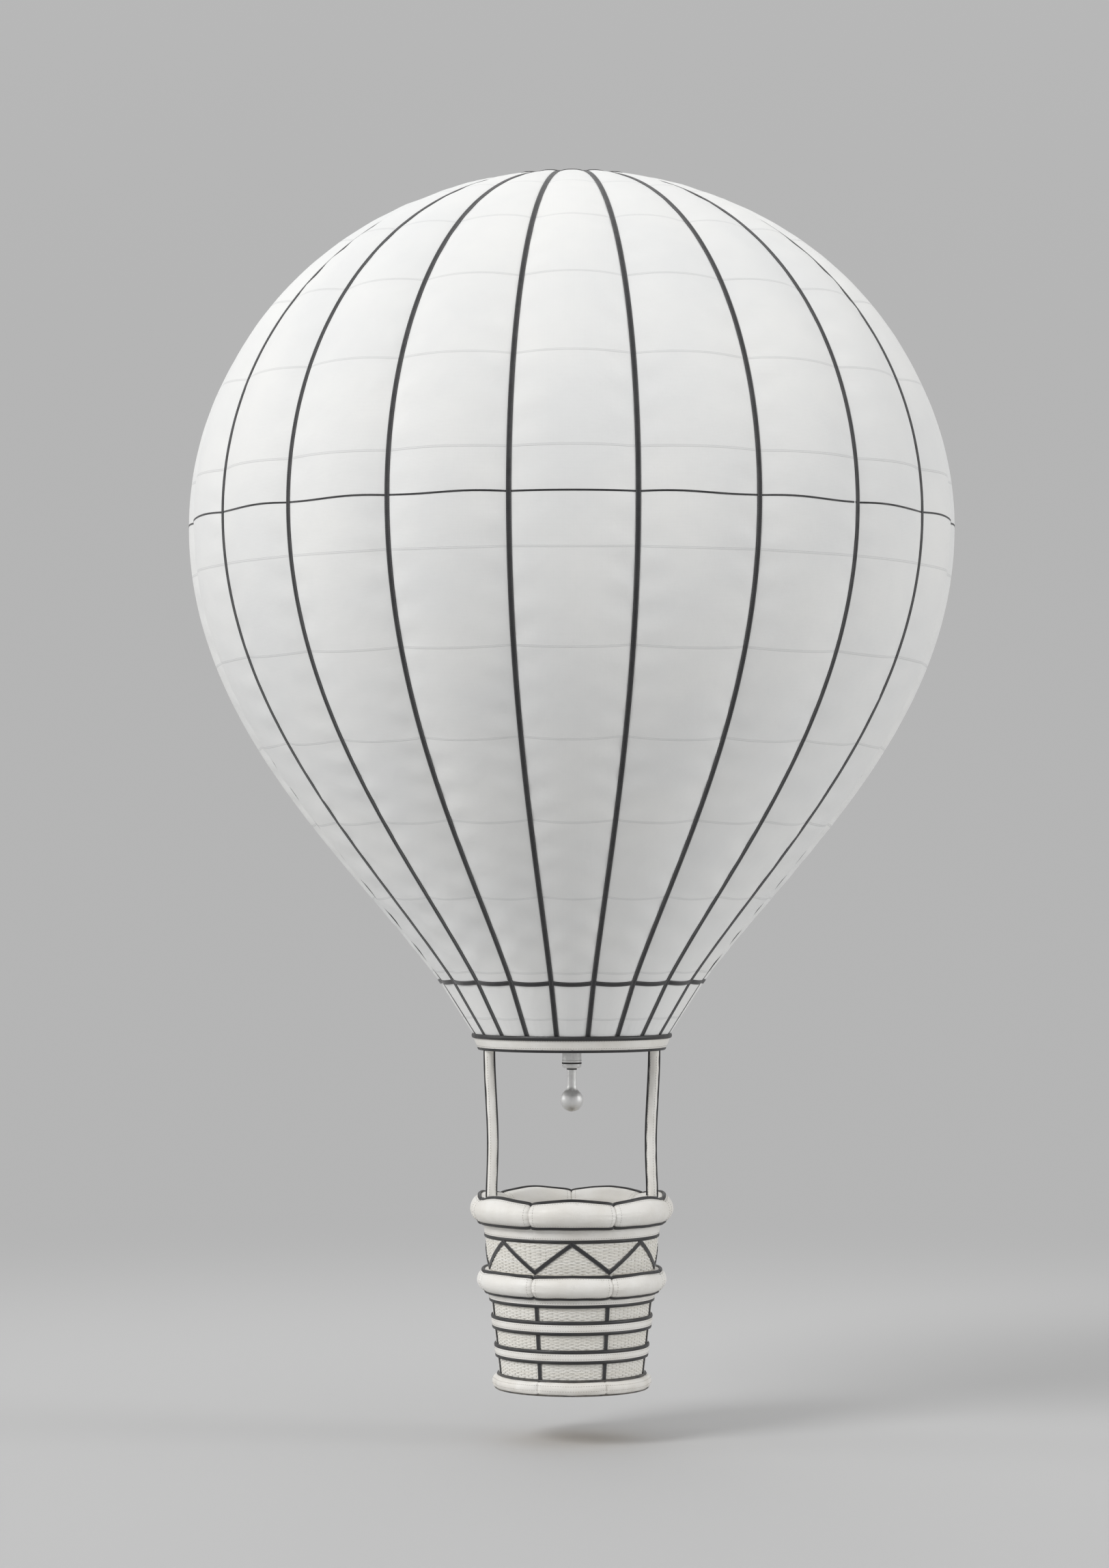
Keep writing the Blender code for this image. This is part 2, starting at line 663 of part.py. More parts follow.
def add_basket():
    wall = [
        (wall_outer(WALL_TOP) - WALL_THICK, WALL_TOP - GAP),
        (wall_outer(WALL_TOP), WALL_TOP - GAP),
        (WALL_STATIONS[1][1], WALL_STATIONS[1][0]),
        (WALL_STATIONS[0][1], BASKET_BOTTOM),
        (WALL_STATIONS[0][1] - WALL_THICK, BASKET_BOTTOM),
        (WALL_STATIONS[1][1] - WALL_THICK, WALL_STATIONS[1][0]),
    ]
    turned("basket_wall", wall, BASKET_STEPS, "pale_wicker")
    add_rim_roll()
    band("cuff_band", WALL_TOP - GAP, CUFF_BOTTOM, GAP, CUFF_THICK, "white_leather")
    band("upper_panel", CUFF_BOTTOM - GAP, MID_ROLL_TOP + GAP, GAP, PANEL_THICK, "pale_wicker")
    add_zigzag()
    add_mid_roll()
    band("lower_weave", MID_ROLL_BOTTOM - GAP, BASE_RING_TOP + GAP, GAP, PANEL_THICK, "pale_wicker")
    add_stakes()
    hoop_off = 5 * GAP + PANEL_THICK + STAKE_THICK
    for n, (top, bottom) in enumerate(HOOP_LEVELS, 1):
        band(f"hoop_{n}", top - GAP, bottom, hoop_off, HOOP_THICK, "white_leather")

    inner_top = wall_outer(BASE_RING_TOP) + GAP
    inner_bottom = wall_outer(BASKET_BOTTOM) + GAP
    small, large = 0.030, 0.095
    base = [(inner_top, BASE_RING_TOP)]
    base += arc((BASE_RING_REACH - small, BASE_RING_TOP - small), small, 90, 0, 3)
    base += arc((BASE_RING_REACH - large, BASKET_BOTTOM + large), large, 0, -90, 4)
    base.append((inner_bottom, BASKET_BOTTOM))
    turned("base_ring", base, BASKET_STEPS, "white_leather")

    reach = (wall_outer(BASKET_BOTTOM) - WALL_THICK) - 2 * GAP
    top = BASKET_BOTTOM + FLOOR_THICK
    board = [(0, top), (reach, top), (reach, BASKET_BOTTOM), (0, BASKET_BOTTOM)]
    turned("basket_floor", board, BASKET_STEPS, "floor_board")


clear_scene()
BALLOON = new_collection("hot_air_balloon")
CUTTERS = new_collection("cutters")
MATERIALS = finishes()

add_gores()
add_load_tapes()
add_skirt()
add_vent()
add_mouth_ring()
add_burner_frame()
add_burner()
add_posts()
add_basket()
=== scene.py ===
"""Looks of the hot air balloon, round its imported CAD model: cloth gores on black tapes, a steel burner, padded
leather rolls and sleeves, and a basket woven from cane. Metres, in the frame of the CAD model.
"""

import math

import bpy
import numpy as np
from mathutils import Matrix, Vector


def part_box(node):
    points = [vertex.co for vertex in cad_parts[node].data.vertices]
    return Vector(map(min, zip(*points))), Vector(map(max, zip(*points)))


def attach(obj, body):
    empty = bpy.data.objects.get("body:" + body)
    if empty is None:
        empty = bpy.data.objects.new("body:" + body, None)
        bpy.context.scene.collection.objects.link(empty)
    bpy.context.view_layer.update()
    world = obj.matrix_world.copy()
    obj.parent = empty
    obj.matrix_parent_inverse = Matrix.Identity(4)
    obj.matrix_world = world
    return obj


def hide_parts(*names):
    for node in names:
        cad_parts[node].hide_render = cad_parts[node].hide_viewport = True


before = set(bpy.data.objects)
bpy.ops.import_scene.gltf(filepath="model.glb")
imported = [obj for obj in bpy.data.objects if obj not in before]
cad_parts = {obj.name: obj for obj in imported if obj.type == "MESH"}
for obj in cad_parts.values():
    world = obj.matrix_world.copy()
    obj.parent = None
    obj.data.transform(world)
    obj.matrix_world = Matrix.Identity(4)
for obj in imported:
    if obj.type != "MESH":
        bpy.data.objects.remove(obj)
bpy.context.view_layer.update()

# Sizes shared with the CAD model
GAP = 0.0004
ENVELOPE_RADIUS = 6.00
CROWN_HEIGHT = 5.55
SKIRT_RADIUS = 2.07
SKIRT_Z = -7.10
EQUATOR_HANDLE = 3.11
SKIRT_HANDLE = 2.32
SKIRT_HANDLE_SLOPE = 0.744
MOUTH_RADIUS = 1.537
MOUTH_Z = -7.922
GORES = 20
LOBE_SHARE = 0.020
FABRIC = 0.010
SEAM_GAP = 0.0006
TAPE_WIDTH = 0.075
TAPE_SHARE_AT_CROWN = 0.7
TAPE_THICK = 0.008
TAPE_LIFT = 0.0025
TAPE_END_UP = 0.0056
VENT_EDGE = 1.15
FIRST_SPOKE, LAST_SPOKE = 0.16, 0.62
VENT_OVERLAP = 0.235
VENT_DROP = 0.0108
MOUTH_RING_BOTTOM = -8.157
MOUTH_RING_TOP_OUTER = 1.558
MOUTH_RING_BOTTOM_OUTER = 1.466
MOUTH_RING_INNER = 1.290
PIVOT_Z = -8.07
BAR_RADIUS = 0.030
GIMBAL_INNER = 0.295
GIMBAL_OUTER = 0.345
GIMBAL_HIGH = 0.050
PIN_RADIUS = 0.014
PIN_REACH = 0.065
CAN_RADIUS = 0.150
CAN_TOP = -7.985
CAN_FLOOR = -8.350
CAN_BOTTOM = -8.456
NECK_RADIUS = 0.075
BULB_RADIUS = 0.180
BULB_Z = -8.957
POST_AZIMUTHS = (21, 159, 201, 339)
POST_RADIUS = 0.080
POST_STATIONS = ((1.380, -8.1574, 0.50), (1.322, -9.60, 0.45), (1.343, -10.42, 0.25), (1.343, -10.6196, 0.05))
PANELS = 7
RIM_ROLL_REACH = 1.377
RIM_ROLL_RADIUS = 0.208
RIM_ROLL_Z = -10.644
RIM_SWELL = 0.034
WALL_TOP = RIM_ROLL_Z - RIM_ROLL_RADIUS
CUFF_BOTTOM = -11.055
MID_ROLL_TOP = -11.573
MID_ROLL_BOTTOM = -11.915
MID_ROLL_REACH = 1.473
MID_SWELL = 0.022
HOOP_LEVELS = ((-11.915, -12.043), (-12.305, -12.465), (-12.753, -12.908))
BASE_RING_TOP = -13.217
BASKET_BOTTOM = -13.431
BASE_RING_REACH = 1.222
WALL_STATIONS = ((-13.431, 1.082), (-11.744, 1.270), (-10.852, 1.352))
WALL_THICK = 0.040
CUFF_THICK = 0.028
PANEL_THICK = 0.020
STRAP_WIDE = 0.065
FLOOR_THICK = 0.060
CROWN_RING_INNER, CROWN_RING_OUTER = 0.13, 0.25

# Sizes of the looks alone
PUCKER_SEED = 100
RIPSTOP = 0.022
CLOTH_WIDTH = 1.46
INSIDE = (0, 0, -3)
ROLL_SHARP = 70
BAND_STEPS = 336
DUST_TOP = -13.05
SPOKES = 98
WALL_STRANDS = 96
CANE_PITCH = 0.0262
WEAVE_LIFT = 0.0095
WALL_RELIEF = 0.0095
HORIZON_GREY, ZENITH_GREY = 0.46, 0.72

FRONT = math.radians(-90)
GORE_ANGLE = math.tau / GORES
PANEL_ANGLE = math.tau / PANELS


# Mesh making


def numbered(rows, columns, wrap=(0, 0)):
    """A grid of point numbers, with its first row or column again at the end where it wraps."""
    at = np.arange(rows * columns).reshape(rows, columns)
    return np.pad(at, [(0, int(w)) for w in wrap], "wrap")


def quads(grid):
    """The four corners of each face between neighbours in a grid."""
    corners = np.stack([grid[:-1, :-1], grid[1:, :-1], grid[1:, 1:], grid[:-1, 1:]], 2)
    return corners.reshape(-1, 4, *grid.shape[2:])


def volume(points, faces):
    """Six times the volume that the faces close in, below zero where they look inwards."""
    a = points[faces[:, 0]]
    pairs = ((points[faces[:, k]], points[faces[:, k + 1]]) for k in range(1, faces.shape[1] - 1))
    return sum(float((a * np.cross(b, c)).sum()) for b, c in pairs)


def unit(vectors):
    return vectors / np.linalg.norm(vectors, axis=-1, keepdims=True)


def runs(steps):
    """Distances from the start after each of the steps."""
    return np.concatenate([[0.0], np.cumsum(steps)])


def lengths(points, axis, closed):
    """Distances along the rows or columns of a grid, on average over the other way."""
    if closed:
        points = np.concatenate([points, points.take([0], axis)], axis)
    run = runs(np.linalg.norm(np.diff(points, axis=axis), axis=2).mean(1 - axis))
    return np.expand_dims(run, 1 - axis)


def grid_uv(points, shape, u, v, wrap=(0, 0)):
    """UVs over a grid, which are lengths along it where they aren't given."""
    u = lengths(points, 0, wrap[0]) if u is None else u
    v = lengths(points, 1, wrap[1]) if v is None else v
    return np.stack([np.broadcast_to(x, shape) for x in (u, v)], -1)


def linked(name, data):
    """A new object in the scene."""
    obj = bpy.data.objects.new(name, data)
    bpy.context.scene.collection.objects.link(obj)
    return obj


class Piece:
    """Collects closed forms into one mesh, with a UV in metres at each corner of each face."""

    def __init__(self):
        self.points, self.faces, self.uvs = [], [], []

    def add(self, points, *blocks):
        """Adds points and blocks of (faces, UVs of their corners), turned to look outwards."""
        turn = -1 if sum(volume(points, faces) for faces, _ in blocks) < 0 else 1
        before = sum(len(block) for block in self.points)
        for faces, uv in blocks:
            self.faces.append(faces[:, ::turn] + before)
            self.uvs.append(uv[:, ::turn])
        self.points.append(points)
        return self

    def grid(self, points, u=None, v=None, wrap=(0, 0), caps=False):
        """Adds a grid of (rows, columns, 3) points. It closes along the rows or columns that wrap, and
        caps close both ends of a tube whose columns wrap."""
        points = np.asarray(points, float)
        at = numbered(*points.shape[:2], wrap)
        blocks = [(quads(at), quads(grid_uv(points, at.shape, u, v, wrap)))]
        whole = points.reshape(-1, 3)
        if caps:
            count = len(whole)
            whole = np.vstack([whole, points[0].mean(0), points[-1].mean(0)])
            for end, (row, step) in enumerate(((0, 1), (-1, -1))):
                rim = np.stack([at[row, :-1], at[row, 1:]], -1)[:, ::step]
                fan = np.insert(rim, 2, count + end, 1)
                blocks.append((fan, (whole[fan] - whole[count + end])[..., :2]))
        return self.add(whole, *blocks)

    def ring(self, points, u=None, v=None):
        """Adds a grid that closes both ways."""
        return self.grid(points, u, v, (1, 1))

    def shell(self, outer, inner, u=None, v=None):
        """Adds a cloth with an outer and an inner side, closed along its edges."""
        at = numbered(*outer.shape[:2])
        uv = np.tile(grid_uv(outer, at.shape, u, v).reshape(-1, 2), (2, 1))
        rim = np.concatenate([at[0, :-1], at[:-1, -1], at[-1, :0:-1], at[:0:-1, 0]])
        ahead = np.roll(rim, -1)
        side = np.stack([rim, ahead, ahead + at.size, rim + at.size], -1)
        faces = np.concatenate([quads(at), quads(at)[:, ::-1] + at.size, side])
        return self.add(np.concatenate([outer.reshape(-1, 3), inner.reshape(-1, 3)]), (faces, uv[faces]))

    def sleeve(self, outer, inner, v, u=None):
        """Adds a cloth that goes round, with an outer and an inner side."""
        v = np.concatenate([v, v[::-1], v[:1]])
        return self.ring(np.concatenate([outer, inner[:, ::-1]], 1), u, v)

    def make(self, name, finish, *replaces, body="balloon", sharp=40):
        """The finished object, which rides on a body and may stand for CAD nodes."""
        mesh = bpy.data.meshes.new(name)
        faces = [face for block in self.faces for face in block.tolist()]
        mesh.from_pydata(np.concatenate(self.points).tolist(), [], faces)
        uvs = np.concatenate([uv.reshape(-1) for uv in self.uvs])
        mesh.uv_layers.new(name="UVMap").data.foreach_set("uv", uvs.astype(np.float32))
        mesh.shade_smooth()
        mesh.set_sharp_from_angle(angle=math.radians(sharp))
        mesh.materials.append(FINISHES[finish])
        if finish == "fabric":
            line_cloth(mesh)
        obj = linked(name, mesh)
        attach(obj, body)
        if replaces:
            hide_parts(*replaces)
        return obj


def line_cloth(mesh):
    """Gives the faces that look into the envelope the finish that daylight shines through."""
    normals, middles = np.empty((2, len(mesh.polygons), 3), np.float32)
    mesh.polygons.foreach_get("normal", normals.reshape(-1))
    mesh.polygons.foreach_get("center", middles.reshape(-1))
    inside = ((middles - INSIDE) * normals).sum(1) < 0
    mesh.materials.append(FINISHES["lining"])
    mesh.polygons.foreach_set("material_index", inside.astype(np.int32))


def around(steps):
    """Azimuths round a full turn, from the front."""
    return FRONT + math.tau * np.arange(steps) / steps


def polar(radius, azimuth, z):
    """Points at radii, azimuths and heights round the Z axis."""
    return np.stack(np.broadcast_arrays(radius * np.cos(azimuth), radius * np.sin(azimuth), z), -1)


def hoop_path(radius, z, azimuths):
    """A level ring of points and its outward normals."""
    return polar(radius, azimuths, z), polar(1.0, azimuths, 0.0)


def lathe(piece, section, steps):
    """Adds a closed section of (radius, z), turned round the Z axis."""
    radii, heights = np.transpose(section)
    return piece.ring(polar(radii, around(steps)[:, None], heights))


def rod(piece, radius, start, end, sides=20):
    """Adds a round bar with capped ends and a small chamfer."""
    start, end = Vector(start), Vector(end)
    along, length = (end - start).normalized(), (end - start).length
    side = along.orthogonal().normalized()
    angles = math.tau * np.arange(sides) / sides
    loop = np.outer(np.cos(angles), side) + np.outer(np.sin(angles), along.cross(side))
    chamfer = 0.12
    ends = ((0, 1 - chamfer), (chamfer * radius, 1))
    stops = [*ends, *((length - far, share) for far, share in ends[::-1])]
    rows = [np.array(start) + np.array(along) * far + loop * radius * share for far, share in stops]
    return piece.grid(rows, wrap=(0, 1), caps=True)


def tube(piece, path, normals, thick, tall=None, steps=10, closed=True):
    """Adds a cord along a path, thick along the normals and tall across them."""
    ahead = np.roll(path, -1, 0) - np.roll(path, 1, 0)
    if not closed:
        ahead[0], ahead[-1] = path[1] - path[0], path[-1] - path[-2]
    across = unit(np.cross(ahead, normals))
    turn = math.tau * np.arange(steps)[:, None] / steps
    points = path[:, None] + thick / 2 * np.cos(turn) * normals[:, None]
    points = points + (tall or thick) / 2 * np.sin(turn) * across[:, None]
    return piece.grid(points, wrap=(closed, 1), caps=not closed)


def stitches(piece, path, normals, closed=True):
    """Adds a row of raised stitches along a path that lies on a surface."""
    long, step, wide, tall, sunk = 0.026, 0.040, 0.0060, 0.0016, -0.0020
    if closed:
        path, normals = (np.concatenate([x, x[:1]]) for x in (path, normals))
    run = runs(np.linalg.norm(np.diff(path, axis=0), axis=1))
    count = max(2, round(run[-1] / step))
    middle = (np.arange(count) + 0.5) * run[-1] / count
    ends = middle[:, None] + np.array([-0.5, -0.25, 0.25, 0.5]) * long
    at, out = (np.stack([np.interp(ends, run, x[:, k]) for k in range(3)], -1) for x in (path, normals))
    out = unit(out)
    across = unit(np.cross(at[:, -1:] - at[:, :1], out))
    rise = np.array([sunk, tall, tall, sunk])[:, None]
    corners = ((1, 0), (0, 1), (-1, 0), (0, -1))
    points = [at + out * (rise + b * wide * 0.35) + across * a * wide / 2 for a, b in corners]
    stitch = np.vstack([quads(numbered(4, 4, (0, 1))), [(0, 1, 2, 3), (15, 14, 13, 12)]])
    faces = (stitch + 16 * np.arange(count)[:, None, None]).reshape(-1, 4)
    piece.add(np.stack(points, 2).reshape(-1, 3), (faces, np.zeros((len(faces), 4, 2))))


def section_points(corners, rounding, steps=5):
    """A closed (radius, z) section with its corners rounded off."""
    corners = [Vector(c) for c in corners]
    found = []
    for n, corner in enumerate(corners):
        back, ahead = corners[n - 1] - corner, corners[(n + 1) % len(corners)] - corner
        reach = min(rounding, back.length / 2.2, ahead.length / 2.2)
        first, last = corner + back.normalized() * reach, corner + ahead.normalized() * reach
        for t in (i / steps for i in range(steps + 1)):
            found.append(first * (1 - t) ** 2 + corner * 2 * t * (1 - t) + last * t**2)
    return np.array(found)


def box_section(inner, outer, low, high, rounding, steps):
    """The section of a flat ring with rounded edges."""
    return section_points([(inner, high), (outer, high), (outer, low), (inner, low)], rounding, steps)


def bezier(corners, share):
    """Points at shares of the way along a cubic curve with four control points."""
    share = share[:, None]
    left = 1 - share
    return np.hstack([left**3, 3 * left**2 * share, 3 * left * share**2, share**3]) @ np.array(corners)


def waves(*shares, seed, low=0.6, high=3.0):
    """A smooth seeded ripple from -1 to 1 or so over the given coordinates, in waves for each metre."""
    source = np.random.default_rng(seed)
    total, count = 0.0, 5
    for _ in range(count):
        turns = source.uniform(low, high, len(shares)) * source.choice([-1, 1], len(shares))
        total = total + np.sin(math.tau * (sum(t * s for t, s in zip(turns, shares)) + source.uniform()))
    return total / math.sqrt(count)


def turned(azimuth):
    """Rotation about Z, for points in rows."""
    return np.array(Matrix.Rotation(azimuth, 3, "Z")).T


# Materials


class Graph:
    """Short names for making the nodes of one material or world."""

    def __init__(self, owner, shader):
        owner.use_nodes = True
        self.tree = owner.node_tree
        self.shader = self.tree.nodes[shader]

    def feed(self, socket, value):
        """Links an output to a socket, or sets the socket to a value."""
        if isinstance(value, bpy.types.NodeSocket):
            self.tree.links.new(value, socket)
        else:
            socket.default_value = (*value, 1) if socket.type == "RGBA" else value

    def make(self, kind, inputs=(), output=0, **settings):
        """The output of a new node with these settings and inputs."""
        node = self.tree.nodes.new("ShaderNode" + kind)
        for key, value in settings.items():
            setattr(node, key, value)
        for key, value in dict(inputs).items():
            self.feed(node.inputs[key], value)
        return node.outputs[output]

    def math(self, operation, *values):
        return self.make("Math", enumerate(values), operation=operation)

    def scaled(self, vector, scale):
        return self.make("Mapping", {"Vector": vector, "Scale": scale})

    def noise(self, vector, scale, detail=3.0, rough=0.55):
        inputs = {"Vector": vector, "Scale": scale, "Detail": detail, "Roughness": rough}
        return self.make("TexNoise", inputs, "Fac")

    def tone(self, number):
        """A random share for each whole number."""
        return self.make("TexWhiteNoise", {"W": number}, "Value", noise_dimensions="1D")

    def ramp(self, value, low, high, start=0.0, end=1.0, kind="LINEAR"):
        """Maps low to high onto start to end, clamped."""
        return self.make("MapRange", enumerate((value, low, high, start, end)), interpolation_type=kind)

    def patches(self, scale, low, high, detail=4):
        """Soft patches over the surface."""
        return self.ramp(self.noise(self.place, scale, detail), low, high)

    def band(self, value, centre, low, high):
        """1 where a value is within low of the centre, and 0 from high on."""
        off = self.math("ABSOLUTE", self.math("SUBTRACT", value, centre))
        return self.ramp(off, low, high, 1.0, 0.0)

    def line(self, value, spacing, width):
        """1 on thin lines that repeat at a spacing, both in the value's own unit."""
        near = self.math("PINGPONG", value, spacing / 2)
        return self.ramp(near, width * 0.5, width * 0.75, 1.0, 0.0)

    def mix(self, share, first, second):
        return self.make("Mix", {0: share, 6: first, 7: second}, 2, data_type="RGBA")

    def tint(self, base, mask, share, colour):
        """The base under a colour that covers up to a share of it where the mask is 1."""
        return self.mix(self.math("MULTIPLY", mask, share), base, colour)

    def hollow_shade(self, base, low, high, share, colour):
        """Painted shade: the base darkened wherever it lies in a hollow, by how far a point lies under its
        neighbours.
        """
        curve = self.make("NewGeometry", output="Pointiness")
        return self.mix(self.ramp(curve, low, high, share, 0.0), base, colour)

    def split(self, vector):
        return list(self.make("SeparateXYZ", {0: vector}).node.outputs)

    def finish(self, base, grain, rough, *relief):
        """The material, with its colour, its roughness by a grain, and its (height, metres) relief."""
        self.feed(self.shader.inputs["Base Color"], base)
        self.feed(self.shader.inputs["Roughness"], self.ramp(grain, 0.3, 0.7, *rough))
        below = {}
        for height, depth in relief:
            below = {"Normal": self.make("Bump", {"Height": height, "Distance": depth, **below})}
        self.feed(self.shader.inputs["Normal"], below["Normal"])
        return self.material


def skin(name, colour, roughness, **sockets):
    """The graph of a new material, with its UV and its place on the object."""
    material = bpy.data.materials.new(name)
    g = Graph(material, "Principled BSDF")
    g.material = material
    for socket, value in {"Base_Color": colour, "Roughness": roughness, **sockets}.items():
        g.feed(g.shader.inputs[socket.replace("_", " ")], value)
    g.uv = g.make("UVMap", output="UV", uv_map="UVMap")
    g.place = g.make("TexCoord", output="Object")
    return g


def shade(colour, share):
    return tuple(share * c for c in colour)


def fabric_finish(name, **sockets):
    """White coated ripstop cloth: a woven grid, cross seams with two rows of stitches, and soft puckers."""
    g = skin(name, (0.9, 0.9, 0.885), 0.46, **sockets)
    across, along, _ = g.split(g.uv)
    grid = g.math("MAXIMUM", *(g.line(way, RIPSTOP, 0.0018) for way in (across, along)))
    off = g.math("PINGPONG", g.math("ADD", along, 0.35), CLOTH_WIDTH / 2)
    seam = g.ramp(off, 0.017, 0.019, 1.0, 0.0)
    stitch = g.math("MULTIPLY", g.band(off, 0.0105, 0.0012, 0.0022), g.line(across, 0.018, 0.012))
    base = g.mix(g.patches(0.55, 0.35, 0.65), (0.91, 0.91, 0.895), (0.86, 0.865, 0.86))
    base = g.tint(base, grid, 0.10, (0.62, 0.63, 0.64))
    base = g.tint(base, seam, 0.16, (0.62, 0.63, 0.64))
    base = g.tint(base, stitch, 0.45, (0.36, 0.36, 0.37))
    relief = (seam, 0.0020), (stitch, 0.0010), (g.noise(g.place, 2.6, 3), 0.010), (grid, 0.0006)
    return g.finish(base, g.noise(g.place, 6.0), (0.56, 0.70), *relief)


def tape_finish():
    """Black webbing: ribs across it, and two rows of grey stitches near its edges."""
    g = skin("black_webbing", (0.018, 0.018, 0.020), 0.62, Sheen_Weight=0.25, Sheen_Roughness=0.5)
    along, across, _ = g.split(g.uv)
    rib = 0.009
    ribs = g.math("PINGPONG", g.math("MULTIPLY_ADD", across, 0.5, along), rib)
    ribs = g.math("DIVIDE", ribs, rib)
    row = g.band(g.math("ABSOLUTE", across), 0.027, 0.0018, 0.0030)
    stitch = g.math("MULTIPLY", row, g.line(along, 0.032, 0.020))
    base = g.mix(g.patches(2.2, 0.45, 0.75), (0.014, 0.014, 0.016), (0.030, 0.030, 0.032))
    base = g.tint(base, ribs, 0.35, (0.034, 0.034, 0.036))
    base = g.tint(base, stitch, 0.7, (0.20, 0.20, 0.20))
    return g.finish(base, g.noise(g.place, 9.0), (0.52, 0.74), (ribs, 0.0016), (stitch, 0.0015))


def leather_finish(name, light, dark, rough, creases=0.010, grain=0.0016):
    """Leather: a pebbled grain, soft creases with painted shade along them, painted shade in each hollow, uneven
    colour, and dust near the foot.
    """
    g = skin(name, light, rough[0], Coat_Weight=0.10, Coat_Roughness=0.38)
    pebble = g.make("TexVoronoi", {"Vector": g.place, "Scale": 75.0}, "Distance")
    fold = g.noise(g.place, 7.0, 5, 0.6)
    base = g.mix(g.patches(1.7, 0.38, 0.66), light, dark)
    # Painted shade: darker where the crease noise is high, as shade in the creases.
    base = g.tint(base, g.ramp(fold, 0.62, 0.8), 0.35, shade(dark, 0.72))
    # Painted shade: darker in each hollow of the padding and its folds.
    base = g.hollow_shade(base, 0.455, 0.492, 0.55, shade(dark, 0.55))
    low = g.ramp(g.split(g.place)[2], DUST_TOP, BASKET_BOTTOM)
    dust = g.math("MULTIPLY", low, g.patches(5.0, 0.35, 0.65, 5))
    base = g.tint(base, dust, 0.30, (0.50, 0.45, 0.37))
    return g.finish(base, g.noise(g.place, 11.0), rough, (fold, creases), (pebble, grain))


def cane_finish():
    """Bleached cane: fibres along each strand, its own tone for each, darker spots, and painted shade where the
    strands meet.
    """
    g = skin("bleached_cane", (0.86, 0.84, 0.79), 0.58)
    fibre = g.noise(g.scaled(g.uv, (5.0, 40.0, 1.0)), 3.0, 4)
    tone = g.tone(g.math("FLOOR", g.split(g.uv)[1]))
    base = g.mix(tone, (0.88, 0.865, 0.82), (0.81, 0.785, 0.72))
    base = g.tint(base, g.ramp(fibre, 0.45, 0.7), 0.30, (0.68, 0.63, 0.54))
    base = g.tint(base, g.patches(14.0, 0.60, 0.74, 3), 0.25, (0.56, 0.50, 0.41))
    # Painted shade: darker in each hollow where strands and spokes meet.
    base = g.hollow_shade(base, 0.40, 0.50, 0.5, (0.42, 0.37, 0.29))
    return g.finish(base, fibre, (0.48, 0.70), (fibre, 0.0022))


def weave_finish():
    """A close weave of the same cane in relief, with painted shade in its grooves, for the wall: u counts the
    spokes and v the strands.
    """
    g = skin("woven_cane", (0.82, 0.80, 0.74), 0.6)
    turn, level, _ = g.split(g.uv)
    strand = g.math("FLOOR", level)
    crown = g.math("SINE", g.math("MULTIPLY", g.math("FRACT", level), math.pi))
    sway = g.math("COSINE", g.math("MULTIPLY", g.math("ADD", turn, strand), math.pi))
    height = g.math("MULTIPLY", g.math("POWER", crown, 0.6), g.ramp(sway, -1, 1, 0.25, 1.0))
    fibre = g.noise(g.scaled(g.place, (1.0, 1.0, 9.0)), 26.0, 4)
    base = g.mix(g.tone(strand), (0.86, 0.84, 0.79), (0.78, 0.75, 0.68))
    base = g.tint(base, g.ramp(fibre, 0.45, 0.7), 0.35, (0.66, 0.61, 0.52))
    # Painted shade: dark where the relief is low, in the grooves between strands.
    base = g.mix(g.ramp(height, 0.05, 0.55, 0.75, 0.0), base, (0.30, 0.27, 0.22))
    return g.finish(base, fibre, (0.50, 0.72), (height, 0.006), (fibre, 0.0015))


def steel_finish():
    """Brushed steel, a little tarnished."""
    light, dark, rough = (0.88, 0.88, 0.87), (0.76, 0.76, 0.76), (0.46, 0.60)
    g = skin("brushed_steel", light, rough[0], Metallic=1.0)
    brush = g.noise(g.scaled(g.uv, (2.0, 160.0, 1.0)), 3.0, 3)
    base = g.mix(g.patches(7.0, 0.40, 0.70), light, dark)
    base = g.tint(base, brush, 0.25, shade(dark, 0.8))
    return g.finish(base, g.noise(g.place, 22.0), rough, (brush, 0.0004))


def board_finish():
    """Sealed pine boards: rings drawn out along each board."""
    g = skin("floor_pine", (0.72, 0.60, 0.44), 0.5)
    rings = g.noise(g.scaled(g.place, (1.2, 22.0, 4.0)), 2.2, 5)
    base = g.mix(g.ramp(rings, 0.38, 0.62), (0.74, 0.63, 0.47), (0.58, 0.45, 0.30))
    base = g.tint(base, g.patches(2.5, 0.5, 0.8, 3), 0.4, (0.46, 0.38, 0.29))
    return g.finish(base, rings, (0.42, 0.62), (rings, 0.0015))


FINISHES = {
    "fabric": fabric_finish("envelope_ripstop", Specular_IOR_Level=0.22),
    "lining": fabric_finish(
        "envelope_ripstop_inside", Subsurface_Weight=0.75, Subsurface_Radius=(1, 1, 1), Subsurface_Scale=0.02
    ),
    "tape": tape_finish(),
    "leather": leather_finish("white_leather_hide", (0.86, 0.845, 0.81), (0.79, 0.765, 0.715), (0.38, 0.58)),
    "piping": leather_finish(
        "black_leather_hide", (0.016, 0.016, 0.018), (0.028, 0.027, 0.027), (0.36, 0.55), 0.004, 0.0012
    ),
    "thread": leather_finish(
        "waxed_thread", (0.46, 0.44, 0.40), (0.36, 0.34, 0.31), (0.5, 0.7), 0.001, 0.0006
    ),
    "cane": cane_finish(),
    "weave": weave_finish(),
    "steel": steel_finish(),
    "board": board_finish(),
}


# Envelope surface


